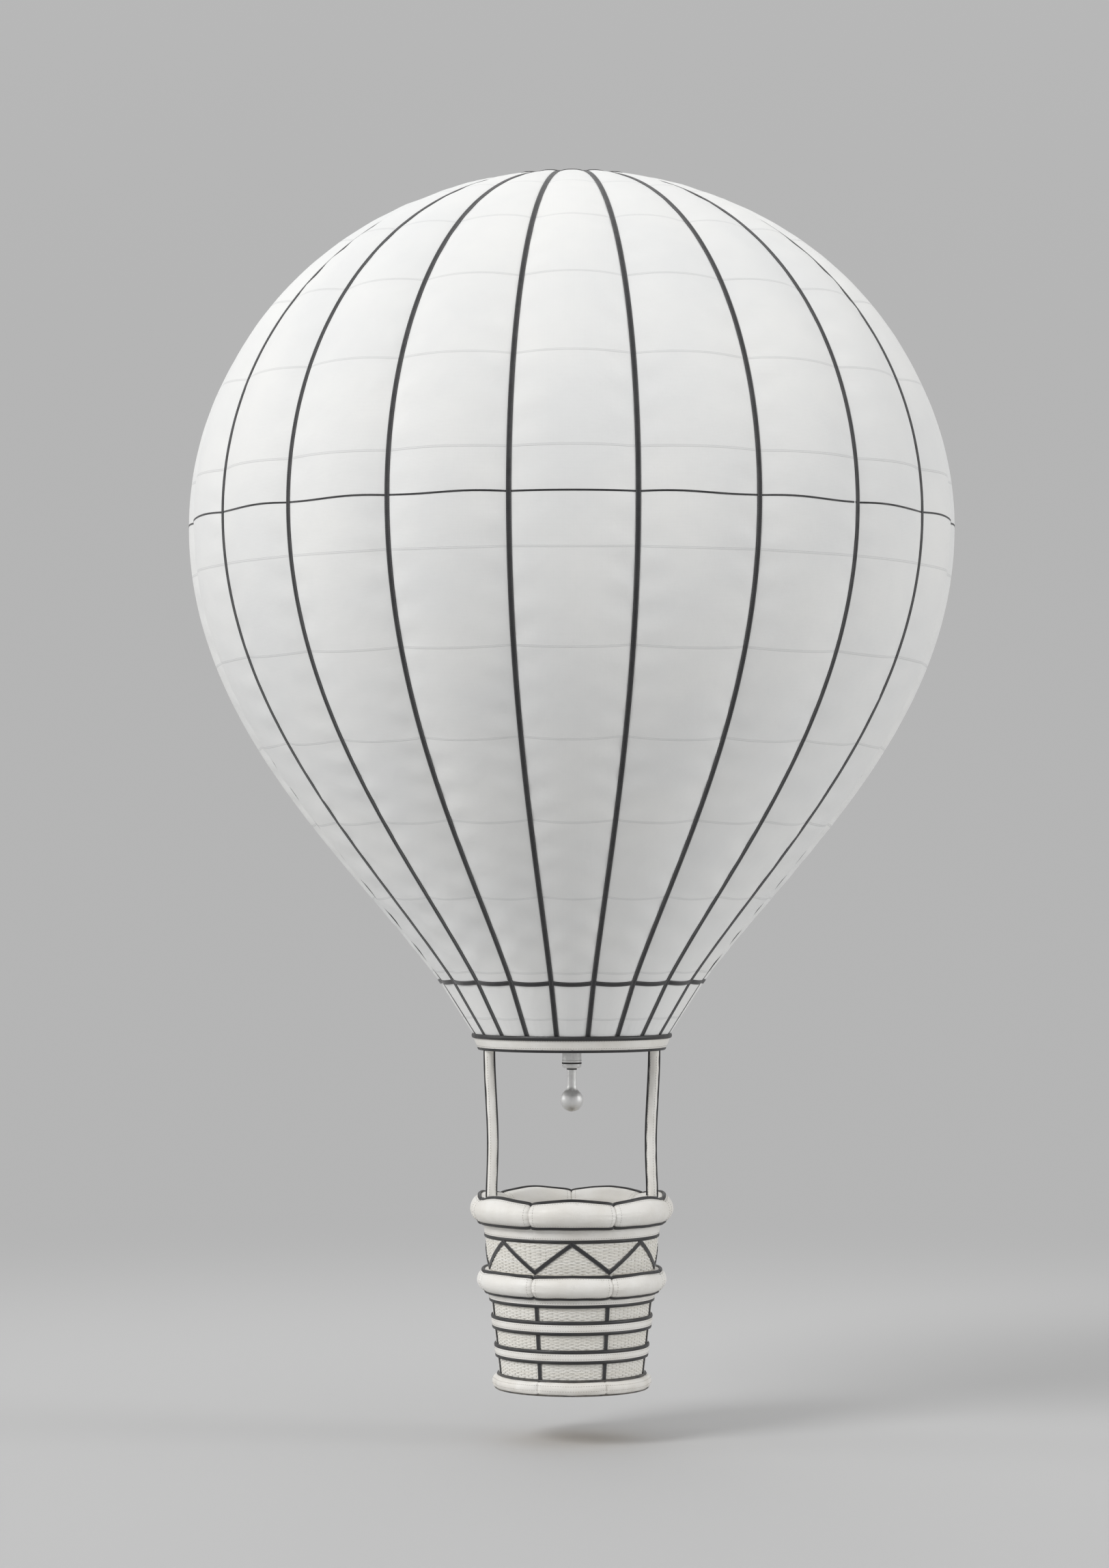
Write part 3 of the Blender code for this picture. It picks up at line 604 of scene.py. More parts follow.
def profile_line(fine=400):
    """The crest line of a gore as rows of (distance from the crown, radius, z)."""
    quarter = math.pi / 2 * np.arange(fine) / fine
    dome = np.column_stack([ENVELOPE_RADIUS * np.sin(quarter), CROWN_HEIGHT * np.cos(quarter)])
    up = np.array([SKIRT_HANDLE_SLOPE, 1]) / math.hypot(SKIRT_HANDLE_SLOPE, 1) * SKIRT_HANDLE
    end = np.array([SKIRT_RADIUS, SKIRT_Z])
    share = np.arange(fine + 1) / fine
    body = bezier([(ENVELOPE_RADIUS, 0), (ENVELOPE_RADIUS, -EQUATOR_HANDLE), end + up, end], share)
    skirt = end + (np.array([MOUTH_RADIUS, MOUTH_Z]) - end) * share[1:, None]
    line = np.vstack([dome, body, skirt])
    return np.column_stack([runs(np.hypot(*np.diff(line, axis=0).T)), line])


LINE = profile_line()
SKIRT_S, EQUATOR_S = (float(np.interp(-z, -LINE[:, 2], LINE[:, 0])) for z in (SKIRT_Z, 0))
MOUTH_S = float(LINE[-1, 0])


def crest(s):
    """Radius, z and the outward normal's radius and z of the gore's crest line, s metres from the crown."""
    here, near, far = (
        [np.interp(at, LINE[:, 0], LINE[:, k]) for k in (1, 2)]
        for at in (s, np.maximum(s - 0.02, 0), np.minimum(s + 0.02, MOUTH_S))
    )
    dr, dz = (b - a for a, b in zip(near, far))
    size = np.hypot(dr, dz)
    return *here, -dz / size, dr / size


def lobe(azimuth, s, across, lift=0.0):
    """Points on the lobed surface, or lift metres outside it. across is in gore widths from the centre line."""
    r, z, out, up = crest(s)
    away = lift - LOBE_SHARE * r * (2 * across) ** 2
    return polar(r + out * away, azimuth + across * GORE_ANGLE, z + up * away)


def cloth_sides(azimuth, s, across, rise):
    """The outer and the inner side of the envelope's cloth."""
    return (lobe(azimuth, s, across, rise - drop) for drop in (0, FABRIC))


def gore_width(s):
    return GORE_ANGLE * crest(s)[0]


def gore_azimuths(steps=1):
    """The gores' azimuths and the shares across them, for points that go round the whole envelope."""
    azimuths = FRONT + GORE_ANGLE * np.repeat(np.arange(GORES), steps)
    return azimuths[:, None], np.tile(np.arange(steps) / steps - 0.5, GORES)[:, None]


def near_seam(azimuth, s, offset, lift=0.0):
    """Points at offset metres to either side of the seam that follows the gore at an azimuth."""
    side = np.sign(offset) + (offset == 0)
    across = side * (np.abs(offset) / gore_width(s) - 0.5)
    return lobe(azimuth + GORE_ANGLE * (side + 1) / 2, s, across, lift)


def off_tape(s, across, half=TAPE_WIDTH / 2):
    """Metres from the edge of the nearest tape."""
    return np.maximum((0.5 - np.abs(across)) * gore_width(s) - half, 0)


def pucker(s, across, seed):
    """Height of the puckers that the tapes gather into the cloth, strongest low on the envelope."""
    off = off_tape(s, across)
    fade = off / 0.12 * np.exp(1 - off / 0.12)
    side = np.sign(across)
    phase = np.random.default_rng(seed).uniform(0, math.tau, 4)
    turns = s / 0.56 + 0.35 * np.sin(s / 1.9 + phase[0]) + 0.45 * off
    small = np.sin(math.tau * turns + phase[1] + side * phase[2])
    small = small * (0.7 + 0.3 * np.sin(math.tau * s / 3.1 + phase[0] + side))
    strength = np.interp(s, [1.4, 3.5, 9.5, 14.0, SKIRT_S], [0.3, 0.7, 0.8, 1.0, 0.7])
    ends = np.clip((s - VENT_EDGE) / 0.5, 0, 1) * np.clip((SKIRT_S - s) / 0.35, 0, 1)
    broad = 0.30 * np.sin(math.tau * s / 2.3 + phase[3] + 2 * across)
    return 0.017 * strength * ends * fade * (small + broad)


# Envelope pieces


def add_gores():
    """Twenty lobed gores, each one continuous curved sheet from the vent to the skirt."""
    s = np.linspace(VENT_EDGE, SKIRT_S, 137)[:, None]
    share = np.linspace(-1, 1, 19)
    spread = 0.5 * np.sign(share) * (1 - (1 - np.abs(share)) ** 1.45)
    seam = 0.5 - SEAM_GAP / (2 * gore_width(s))
    across = np.clip(spread, -seam, seam)
    for k in range(GORES):
        sides = cloth_sides(FRONT + k * GORE_ANGLE, s, across, pucker(s, across, PUCKER_SEED + k))
        piece = Piece().shell(*sides, across * gore_width(s), s)
        made = piece.make(f"gore_cloth_{k + 1:02d}", "fabric", f"gore_{k + 1:02d}")


def tape_half(s):
    return np.minimum(TAPE_WIDTH, TAPE_SHARE_AT_CROWN * gore_width(s)) / 2


def hem(piece, top, bottom, extra):
    """Adds a strip of webbing that runs round the whole envelope between two distances from the crown."""
    azimuths, across = gore_azimuths(10)
    share = np.linspace(0, 1, 5)
    soft = 0.0012 * np.sin(math.pi * share)
    s = top + (bottom - top) * share
    outer, inner = (lobe(azimuths, s, across, TAPE_LIFT + extra + rise) for rise in (TAPE_THICK + soft, 0.0))
    piece.sleeve(outer, inner, (share - 0.5) * (bottom - top))


def add_webbing():
    """The black load tapes over the seams, from the crown ring to the mouth, and the two hems."""
    piece = Piece()
    s = np.linspace(FIRST_SPOKE, MOUTH_S - TAPE_END_UP, 130)[:, None]
    share = np.linspace(-1, 1, 5)
    offset = share * tape_half(s)
    low = TAPE_LIFT + 0.0030 * (1 - share**2) * np.clip((s - LAST_SPOKE) / 0.5, 0, 1)
    for k in range(GORES):
        azimuth = FRONT + k * GORE_ANGLE
        outer, inner = (near_seam(azimuth, s, offset, low + rise) for rise in (TAPE_THICK, 0.0))
        piece.shell(outer, inner, s, offset)
    hem(piece, VENT_EDGE, VENT_EDGE + TAPE_WIDTH, 0.0006)
    hem(piece, SKIRT_S - TAPE_WIDTH / 2, SKIRT_S + TAPE_WIDTH / 2, 0.0008)
    piece.make("load_webbing", "tape", "load_tapes")


def add_equator_tape():
    """The narrow dark seam tape round the widest ring, with a small wave in each gore."""
    piece = Piece()
    share = np.linspace(-1, 1, 25)[:, None]
    across = share * (0.5 - TAPE_WIDTH / 2.2 / gore_width(EQUATOR_S))
    drop = np.linspace(-0.5, 0.5, 3) * 0.028
    for k in range(GORES):
        azimuth = FRONT + k * GORE_ANGLE
        lean = np.sign(round(math.cos(azimuth), 6))
        s = EQUATOR_S + 0.012 * np.sin(math.pi * share) * lean + drop
        rise = pucker(s, across, PUCKER_SEED + k)
        outer, inner = (lobe(azimuth, s, across, rise + off) for off in (0.0022, -0.001))
        piece.shell(outer, inner, across * gore_width(EQUATOR_S), 0.2)
    piece.make("equator_tape", "tape")


def add_skirt():
    """The cone of cloth between the envelope and the mouth ring, lightly gathered on to both."""
    azimuths, across = gore_azimuths(14)
    s = np.linspace(SKIRT_S + GAP, MOUTH_S - GAP, 15)
    share = (s - SKIRT_S) / (MOUTH_S - SKIRT_S)
    turn = (azimuths + across * GORE_ANGLE) * GORES
    folds = np.sin(4 * turn + 1.5 * np.sin(turn)) * np.exp(-((1 - share) / 0.30) ** 2)
    folds = folds + 0.6 * np.sin(3 * turn + 1.0) * np.exp(-(share / 0.22) ** 2)
    free = np.clip(off_tape(s, across) / 0.05, 0, 1) * np.clip((1 - share) / 0.08, 0, 1)
    u = turn / GORES * 1.8
    u = np.vstack([u, u[-1:] + 0.04])
    piece = Piece().sleeve(*cloth_sides(azimuths, s, across, 0.005 * folds * free), s + 0.6, u)
    made = piece.make("skirt_cloth", "fabric", "skirt")


def add_vent():
    """The round vent panel, which bears up against the tapes and under the gores' top edges."""
    azimuths, across = gore_azimuths(8)
    under_ring = 0.14
    s = np.append([0.012, 0.05, 0.1, under_ring], np.linspace(FIRST_SPOKE, VENT_EDGE + VENT_OVERLAP, 22))
    lift = np.interp(s, [LAST_SPOKE, VENT_EDGE - 0.08], [TAPE_LIFT - GAP, -VENT_DROP])
    puff = 0.006 * np.clip(off_tape(s, across, tape_half(s)) / 0.06, 0, 1)
    puff = puff * np.clip((s - 0.3) / 0.3, 0, 1) * np.clip((1.05 - s) / 0.15, 0, 1)
    outer, inner = cloth_sides(azimuths, s, across, lift + puff)
    sides = np.concatenate([outer, inner[:, ::-1]], 1).transpose(1, 0, 2)
    far = np.append(s, s[::-1])[:, None]
    closed = np.concatenate([sides, sides[:, :1]], 1)
    u = np.where(far > under_ring, lengths(sides, 1, True), closed[:, :, 0])
    v = np.where(far > under_ring, far, closed[:, :, 1])
    made = Piece().grid(sides, u, v, (0, 1), caps=True).make("vent_cloth", "fabric", "vent_panel", body="vent")


def add_crown_ring():
    low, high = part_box("crown_ring")
    section = box_section(CROWN_RING_INNER, CROWN_RING_OUTER, low.z, high.z, 0.012, 4)
    lathe(Piece(), section, 160).make("crown_ring_steel", "steel", "crown_ring")


# Padded leather


def pad(piece, name, node, sharp=40):
    """Makes a padded piece of leather."""
    piece.make(name, "leather", node, sharp=sharp)


def trim(name, edge, thread, number=""):
    """Makes the piping and the stitches of a padded piece."""
    edge.make(f"{name}_piping{number}", "piping")
    thread.make(f"{name}_stitches{number}", "thread")


def swell(azimuth):
    """1 over the middle of each panel of the basket and -1 over each stake."""
    return np.cos(PANELS * (azimuth - FRONT))


def grid_normals(grid):
    """Unit normals of a tube's grid, outwards, and whether rows crossed with columns point that way."""
    normals = np.cross(np.gradient(grid, axis=0), np.roll(grid, -1, 1) - np.roll(grid, 1, 1))
    outward = ((grid - grid.mean(1, keepdims=True)) * normals).sum() > 0
    return unit(normals if outward else -normals), outward


def settle(start, rest, held, pressure=300.0, frames=18):
    """The start grid after its cloth, cut to the rest grid, has been blown out by what fills it."""
    faces = quads(numbered(*start.shape[:2], (0, 1)))
    if not grid_normals(rest)[1]:
        faces = faces[:, ::-1]
    mesh = bpy.data.meshes.new("settling")
    mesh.from_pydata(rest.reshape(-1, 3).tolist(), [], faces.tolist())
    obj = linked("settling", mesh)
    obj.shape_key_add(name="rest")
    key = obj.shape_key_add(name="start")
    key.data.foreach_set("co", start.reshape(-1))
    key.value = 1
    obj.vertex_groups.new(name="held").add(np.flatnonzero(held).tolist(), 1.0, "REPLACE")
    cloth = obj.modifiers.new("Cloth", "CLOTH")
    settings = cloth.settings
    settings.vertex_group_mass = "held"
    settings.rest_shape_key = mesh.shape_keys.key_blocks["rest"]
    settings.use_pressure = True
    settings.uniform_pressure_force = pressure
    settings.effector_weights.gravity = 0
    settings.shear_stiffness = 5
    settings.bending_stiffness = 0.1
    settings.air_damping = 4
    cloth.collision_settings.use_collision = False
    cloth.point_cache.frame_end = frames
    for frame_number in range(1, frames + 1):
        bpy.context.scene.frame_set(frame_number)
    done = obj.evaluated_get(bpy.context.evaluated_depsgraph_get()).to_mesh()
    points = np.empty(len(done.vertices) * 3, np.float32)
    done.vertices.foreach_get("co", points)
    bpy.data.objects.remove(obj)
    bpy.context.scene.frame_set(1)
    return points.reshape(start.shape).astype(float)


def resample(grid, at, axis, closed):
    """The grid read off at fractional places along an axis, on a smooth curve through its points."""
    grid = np.moveaxis(grid, axis, 0)
    k = np.floor(at).astype(int)
    t = (at - k)[:, None, None]
    places = (k - 1, k, k + 1, k + 2)
    a, b, c, d = (grid[p % len(grid) if closed else np.clip(p, 0, len(grid) - 1)] for p in places)
    curve = 2 * b + (c - a) * t + (2 * a - 5 * b + 4 * c - d) * t**2 + (3 * b - 3 * c + d - a) * t**3
    return np.moveaxis(curve / 2, 0, axis)


def gathers(off, side, run, seed, depth):
    """Relief of padding near its cross seam: a groove, and folds that run out of it."""
    phase = [start + side * 1.9 for start in np.random.default_rng(seed).uniform(0, math.tau, 5)]
    folds = np.sin(math.tau * run / 0.066 + phase[0] + 1.6 * np.sin(math.tau * run / 0.41 + phase[1]))
    folds = folds * (0.62 + 0.38 * np.sin(math.tau * run / 0.23 + phase[2]))
    longer = np.sin(math.tau * run / 0.155 + phase[3] + np.sin(math.tau * run / 0.6 + phase[4]))
    grip = 1 - np.exp(-off / 0.010)
    fade, far = np.exp(-off / 0.060), np.exp(-off / 0.150)
    return depth * (-0.7 * np.exp(-((off / 0.013) ** 2)) + grip * (0.42 * folds * fade + 0.30 * longer * far))


def padded_roll(surface, share_held, reach, length, seed, depth, coarse=60, fine=96):
    """Points and outward normals of a roll round the basket, blown out between its seven cross seams.
    surface gives (radius, z) for azimuths, shares round its section, and how full it is."""
    steps, rows = 60, 36
    turn = FRONT + PANEL_ANGLE * np.linspace(-0.5, 0.5, steps + 1)[:, None]
    share = (np.arange(coarse) + 0.5) / coarse
    off = np.minimum(turn - turn[0], turn[-1] - turn) * reach

    def shaped(full):
        radii, heights = surface(turn, share, full)
        return polar(radii, turn, heights)

    start = shaped(0.93 - 0.045 * np.exp(-((off / 0.05) ** 2)))
    held = np.zeros(start.shape[:2], bool)
    held[[0, -1]] = True
    grid = settle(start, shaped(0.93 + 0 * off), held | share_held(share))

    near = np.linspace(0, 1, rows // 2 + 1) ** 1.7 / 2
    places = np.append(near, 1 - near[-2::-1])
    columns = np.arange(fine) / fine * coarse
    grid = resample(resample(grid, places * steps, 0, False), columns, 1, True)
    normals, _ = grid_normals(grid)
    normals[0] = unit(normals[0] + normals[-1] @ turned(-PANEL_ANGLE))
    off = (np.minimum(places, 1 - places) * PANEL_ANGLE * reach)[:, None]
    side = np.sign(places - 0.5)[:, None]
    share = (columns + 0.5) / coarse
    run, free = share * length, ~share_held(share)
    points, outward = [], []
    for k in range(PANELS):
        height = gathers(off, side, run, seed + k, depth) + 0.0016 * waves(off + k, run, seed=seed + 50 + k)
        shift = turned(k * PANEL_ANGLE)
        points.append((grid + normals * (height * free)[..., None])[:-1] @ shift)
        outward.append(normals[:-1] @ shift)
    return np.concatenate(points), np.concatenate(outward)


def roll_trim(name, points, normals, rows, thick, seams):
    """Piping along a roll at some shares round its section, stitches beside it, and stitches beside the cross
    seams from one share to another. rows lists (share, how far on the stitches are)."""
    edge, thread = Piece(), Piece()
    count = points.shape[1]

    def column(share):
        return round(share * count) % count

    for share, beside in rows:
        at, next_to = column(share), column(share + beside)
        out = normals[:, at]
        tube(edge, points[:, at] + out * 0.004, out, thick, thick * 1.05, 8)
        stitches(thread, points[:, next_to], normals[:, next_to])
    per = len(points) // PANELS
    first, last = (column(share) for share in seams)
    cut = np.arange(first, last if last > first else last + count) % count
    for k in range(PANELS):
        for row in (k * per + 5, (k + 1) * per - 5):
            row = row % len(points)
            stitches(thread, points[row][cut], normals[row][cut], closed=False)
    trim(name, edge, thread)


def add_rim():
    """The padded roll on the rim, with its cross seams, dimples round the posts, piping and stitches."""
    foot = 0.75

    def surface(turn, share, full):
        angle = math.tau * share
        rise = RIM_SWELL * swell(turn) * np.maximum(0, np.sin(angle))
        seat = np.exp(-(((share - foot) / 0.055) ** 2))
        radius = RIM_ROLL_RADIUS * (full + (1 - full) * seat)
        return RIM_ROLL_REACH + radius * np.cos(angle), RIM_ROLL_Z + radius * np.sin(angle) + rise

    points, normals = padded_roll(
        surface, lambda share: np.abs(share - foot) < 0.045, RIM_ROLL_REACH, 1.31, 11, 0.014, fine=108
    )
    for azimuth in np.radians(POST_AZIMUTHS):
        centre = polar(POST_STATIONS[-1][0], azimuth, 0)[:2]
        off = np.linalg.norm(points[..., :2] - centre, axis=-1)
        dent = 0.022 * np.exp(-(((off - 0.088) / 0.034) ** 2))
        points[..., 2] -= dent * (points[..., 2] > RIM_ROLL_Z)
    pad(Piece().ring(points), "rim_cushion", "rim_roll", ROLL_SHARP)
    roll_trim("rim", points, normals, ((0.195, -0.050), (0.795, 0.050)), 0.060, (0.82, 0.68))


def half_round(top, bottom, reach, front, lift):
    """The surface of a roll that lies against the wall: a rounded front, and a flat back."""
    half, centre = (top - bottom) / 2, (top + bottom) / 2

    def surface(turn, share, full):
        angle = math.pi * (0.5 - np.clip(share / front, 0, 1))
        back = np.clip((share - front) / (1 - front), 0, 1)
        z = centre + (half - 0.002) * np.sin(angle) * np.where(share < front, 1, 1 - 2 * back)
        inner = wall_outer(z) + GAP
        bulge = np.where(share < front, np.maximum(np.cos(angle), 0) ** 0.9, 0)
        rise = lift * swell(turn) * np.maximum(0, np.sin(2 * angle)) ** 2 * (share < front)
        return inner + (reach - inner) * bulge * full, z + rise

    return surface


def add_mid():
    """The padded roll half way down the basket, with piping along both its edges."""
    front = 0.66
    surface = half_round(MID_ROLL_TOP, MID_ROLL_BOTTOM, MID_ROLL_REACH, front, MID_SWELL)
    points, normals = padded_roll(
        surface, lambda share: share > front, MID_ROLL_REACH, 0.90, 23, 0.014, fine=84
    )
    pad(Piece().ring(points), "mid_cushion", "mid_roll", ROLL_SHARP)
    roll_trim("mid", points, normals, ((0.10, 0.060), (0.585, -0.060)), 0.056, (0.10, 0.58))


def add_base():
    """The padded ring round the foot of the basket."""
    small, large = 0.034, 0.095
    inner_top, inner_bottom = (float(wall_outer(z)) + GAP for z in (BASE_RING_TOP, BASKET_BOTTOM))
    corners = [
        (inner_top, BASE_RING_TOP),
        (BASE_RING_REACH, BASE_RING_TOP),
        (BASE_RING_REACH, BASKET_BOTTOM + large / 2),
        (BASE_RING_REACH - large / 2, BASKET_BOTTOM),
        (inner_bottom, BASKET_BOTTOM),
    ]
    section = section_points(corners, small, 7)
    closed = np.vstack([section, section[:1]])
    run = runs(np.hypot(*np.diff(closed, axis=0).T))
    length = float(run[-1])

    def measured(share):
        """The wall's radius, how far the section stands out of it, and z, at shares round the section."""
        r, z = (np.interp(share * length, run, closed[:, k]) for k in (0, 1))
        inner = np.interp(z, [BASKET_BOTTOM, BASE_RING_TOP], [inner_bottom, inner_top])
        return inner, r - inner, z

    def surface(turn, share, full):
        inner, out, z = measured(share)
        return inner + out * np.where(out > 0.02, full**0.6, 1.0), z

    def held(share):
        _, out, z = measured(share)
        return (out < 0.03) | (z < BASKET_BOTTOM + 0.004)

    points, normals = padded_roll(surface, held, BASE_RING_REACH, length, 41, 0.009, coarse=48, fine=64)
    points[..., 2] = np.maximum(points[..., 2], BASKET_BOTTOM)
    pad(Piece().ring(points), "base_cushion", "base_ring", ROLL_SHARP)
    azimuths = around(BAND_STEPS)
    edge, thread = Piece(), Piece()
    tube(edge, *hoop_path(wall_outer(BASE_RING_TOP) + 0.036, BASE_RING_TOP + 0.010, azimuths), 0.054)
    tube(edge, *hoop_path(BASE_RING_REACH - 0.040, BASKET_BOTTOM + 0.026, azimuths), 0.050)
    face = np.linalg.norm(points[..., :2], axis=-1).mean(0) > BASE_RING_REACH - 0.05
    for level in (BASE_RING_TOP - 0.045, BASKET_BOTTOM + 0.085):
        at = int(np.argmin(np.abs(points[..., 2].mean(0) - level) - 10 * face))
        stitches(thread, points[:, at], normals[:, at])
    trim("base", edge, thread)


def band_section(top, bottom, inner, thick, bulge, rows):
    """Radii and heights of a closed section of a band on the wall, swelling outwards between its edges."""
    share = np.linspace(0, 1, rows)
    z = top + (bottom - top) * share
    out = wall_outer(z) + inner
    face = out + thick + bulge * np.sin(math.pi * share) ** 0.7
    return np.append(face, out[::-1]), np.append(z, z[::-1])


def seam_pull(share, wide, run, rows, seed, depth):
    """Relief of a band gathered at whole shares, wide metres apart, over the first rows of its section."""
    past = (share - np.round(share))[:, None]
    face = np.append(np.sin(math.pi * np.linspace(0, 1, rows)), np.zeros(len(run) - rows))
    return gathers(np.abs(past) * wide, np.sign(past), run, seed, depth) * face


def add_cuff():
    """The leather band under the rim roll, seamed at each panel, with piping along its lower edge."""
    azimuths, rows = around(420), 13
    radii, heights = band_section(WALL_TOP - GAP, CUFF_BOTTOM, GAP, CUFF_THICK - 0.012, 0.014, rows)
    share = (azimuths - FRONT) / PANEL_ANGLE + 0.5
    radii = radii + seam_pull(share, PANEL_ANGLE * 1.38, -heights, rows, 31, 0.007)
    pad(Piece().ring(polar(radii, azimuths[:, None], heights)), "cuff_leather", "cuff_band")
    edge, thread = Piece(), Piece()
    tube(edge, *hoop_path(wall_outer(CUFF_BOTTOM) + 0.016, CUFF_BOTTOM + 0.006, azimuths), 0.042, 0.062)
    level = rows - 4
    stitches(thread, *hoop_path(radii[:, level], heights[level], azimuths))
    trim("cuff", edge, thread)


def add_hoops():
    """Three padded hoops over the stakes, edged with piping and stitched."""
    azimuths = around(BAND_STEPS)
    off = 5 * GAP + PANEL_THICK + 0.012
    for n, (top, bottom) in enumerate(HOOP_LEVELS, 1):
        radii, heights = band_section(top - GAP, bottom, off, 0.010, 0.010, 7)
        pad(Piece().ring(polar(radii, azimuths[:, None], heights)), f"hoop_leather_{n}", f"hoop_{n}")
        edge, thread = Piece(), Piece()
        for z in (top, bottom) if n > 1 else (bottom,):
            tube(edge, *hoop_path(wall_outer(z) + off + 0.006, z, azimuths), 0.032, 0.062, 8)
            inward = z + 0.046 * (1 if z == bottom else -1)
            stitches(thread, *hoop_path(wall_outer(inward) + off + 0.0185, inward, azimuths))
        trim("hoop", edge, thread, f"_{n}")


def add_mouth():
    """The padded hoop at the mouth, with a black binding along its top and bottom edges."""
    azimuths, rows, soft = around(480), 13, 0.012
    high, low = MOUTH_Z, MOUTH_RING_BOTTOM
    share = np.linspace(0, 1, rows)
    face = MOUTH_RING_TOP_OUTER + (MOUTH_RING_BOTTOM_OUTER - MOUTH_RING_TOP_OUTER) * share
    face = face - soft + soft * np.sin(math.pi * share) ** 0.6
    radii = np.append(face, np.full(5, MOUTH_RING_INNER))
    heights = np.append(high + (low - high) * share, np.linspace(low, high, 5))
    turns = GORES * (azimuths - FRONT) / math.tau
    radii = radii + seam_pull(turns, GORE_ANGLE * 1.5, heights, rows, 71, 0.006)
    pad(Piece().ring(polar(radii, azimuths[:, None], heights)), "mouth_hoop", "mouth_ring")
    edge, thread = Piece(), Piece()
    tube(edge, *hoop_path(MOUTH_RING_TOP_OUTER - 0.011, high - 0.020, azimuths), 0.042, 0.072)
    tube(edge, *hoop_path(MOUTH_RING_BOTTOM_OUTER - 0.010, low + 0.030, azimuths), 0.042, 0.076)
    for level in (3, 9):
        stitches(thread, *hoop_path(radii[:, level] + 0.001, heights[level], azimuths))
    trim("mouth", edge, thread)


def post_line():
    """How far out and how high a post's middle line runs."""
    share = np.arange(33) / 33
    parts = [
        bezier([(r0, z0), (r0, z0 - h0), (r1, z1 + h1), (r1, z1)], share)
        for (r0, z0, h0), (r1, z1, h1) in zip(POST_STATIONS, POST_STATIONS[1:])
    ]
    return np.vstack([*parts, POST_STATIONS[-1][:2]]).T


def add_posts():
    """Four leather sleeves over the posts, each of two halves that meet at piping inside and outside."""
    reach, z = post_line()
    turn = math.tau * np.arange(28) / 28
    span = (z[0] - z)[:, None]
    ends = np.exp(-span / 0.10) + np.exp(-np.abs(z[:, None] + 10.36) / 0.12)
    for n, azimuth in enumerate(np.radians(POST_AZIMUTHS), 1):
        over, side = 0.25 * np.cos(turn), 0.25 * np.sin(turn)
        creases = 0.0022 * waves(span, over, side, seed=60 + n, low=1.0, high=4.0)
        creases = creases + 0.0030 * ends * np.sin(span * 130 + 2 * np.sin(turn * 2))
        radius = POST_RADIUS - 0.003 - 0.005 * np.abs(np.cos(turn)) ** 8 + creases
        rows = polar(radius, turn, z[:, None]) + reach[:, None, None] * np.array([1.0, 0, 0])
        rows = rows @ turned(azimuth)
        pad(Piece().grid(rows, wrap=(0, 1), caps=True), f"post_sleeve_{n}", f"post_{n}")
        edge, thread = Piece(), Piece()
        for side in (-1, 1):
            path = polar(reach + side * (POST_RADIUS - 0.005), azimuth, z)
            tube(edge, path, polar(side, azimuth, 0 * z), 0.030, 0.030, 8, closed=False)
        for column in (4, 10, 18, 24):
            path = rows[2:-22, column]
            stitches(thread, path, polar(1.0, turn[column] + azimuth, 0 * path[:, 2]), closed=False)
        trim("post", edge, thread, f"_{n}")


# Basket


def wall_outer(z):
    """Outer radius of the basket's inner wall."""
    return np.interp(z, *zip(*WALL_STATIONS))


def weave(piece, top, bottom, phase=0):
    """Adds level strands of cane over and under upright spokes, between two heights."""
    rows = max(1, round((top - bottom) / CANE_PITCH))
    pitch = (top - bottom) / rows
    azimuths = around(SPOKES * 3)
    thick = 0.0046
    out, up = thick * np.array([-1, 0.5, 1, 0.5]), pitch * 0.49 * np.array([0, -1, 0, 1])
    for n in range(rows):
        z = top - (n + 0.5) * pitch
        bend, sway = (0.0012 * waves(azimuths * 1.3, seed=first + n + phase) for first in (300, 400))
        over = 0.0062 * np.cos(SPOKES / 2 * (azimuths - FRONT) + math.pi * (n + phase))
        middle = wall_outer(z) + WEAVE_LIFT + over + bend
        v = n + phase + 0.15 + 0.7 * np.linspace(0, 1, 5)
        piece.ring(polar(middle[:, None] + out, azimuths[:, None], z + sway[:, None] + up), v=v)
    for azimuth in around(SPOKES):
        rod(piece, 0.0055, *(polar(wall_outer(z) + WEAVE_LIFT, azimuth, z) for z in (top, bottom)), 6)


def add_weave():
    """The woven cane of the upper panel, and of the three bands between the hoops below."""
    upper, lower = Piece(), Piece()
    weave(upper, CUFF_BOTTOM - 0.002, MID_ROLL_TOP + 0.004)
    upper.make("upper_cane", "cane", "upper_panel", sharp=80)
    ends = [top for top, _ in HOOP_LEVELS[1:]] + [BASE_RING_TOP]
    for n, ((_, top), bottom) in enumerate(zip(HOOP_LEVELS, ends), 1):
        weave(lower, top + 0.020, bottom - 0.020, 40 * n)
    lower.make("lower_cane", "cane", "lower_weave", sharp=80)


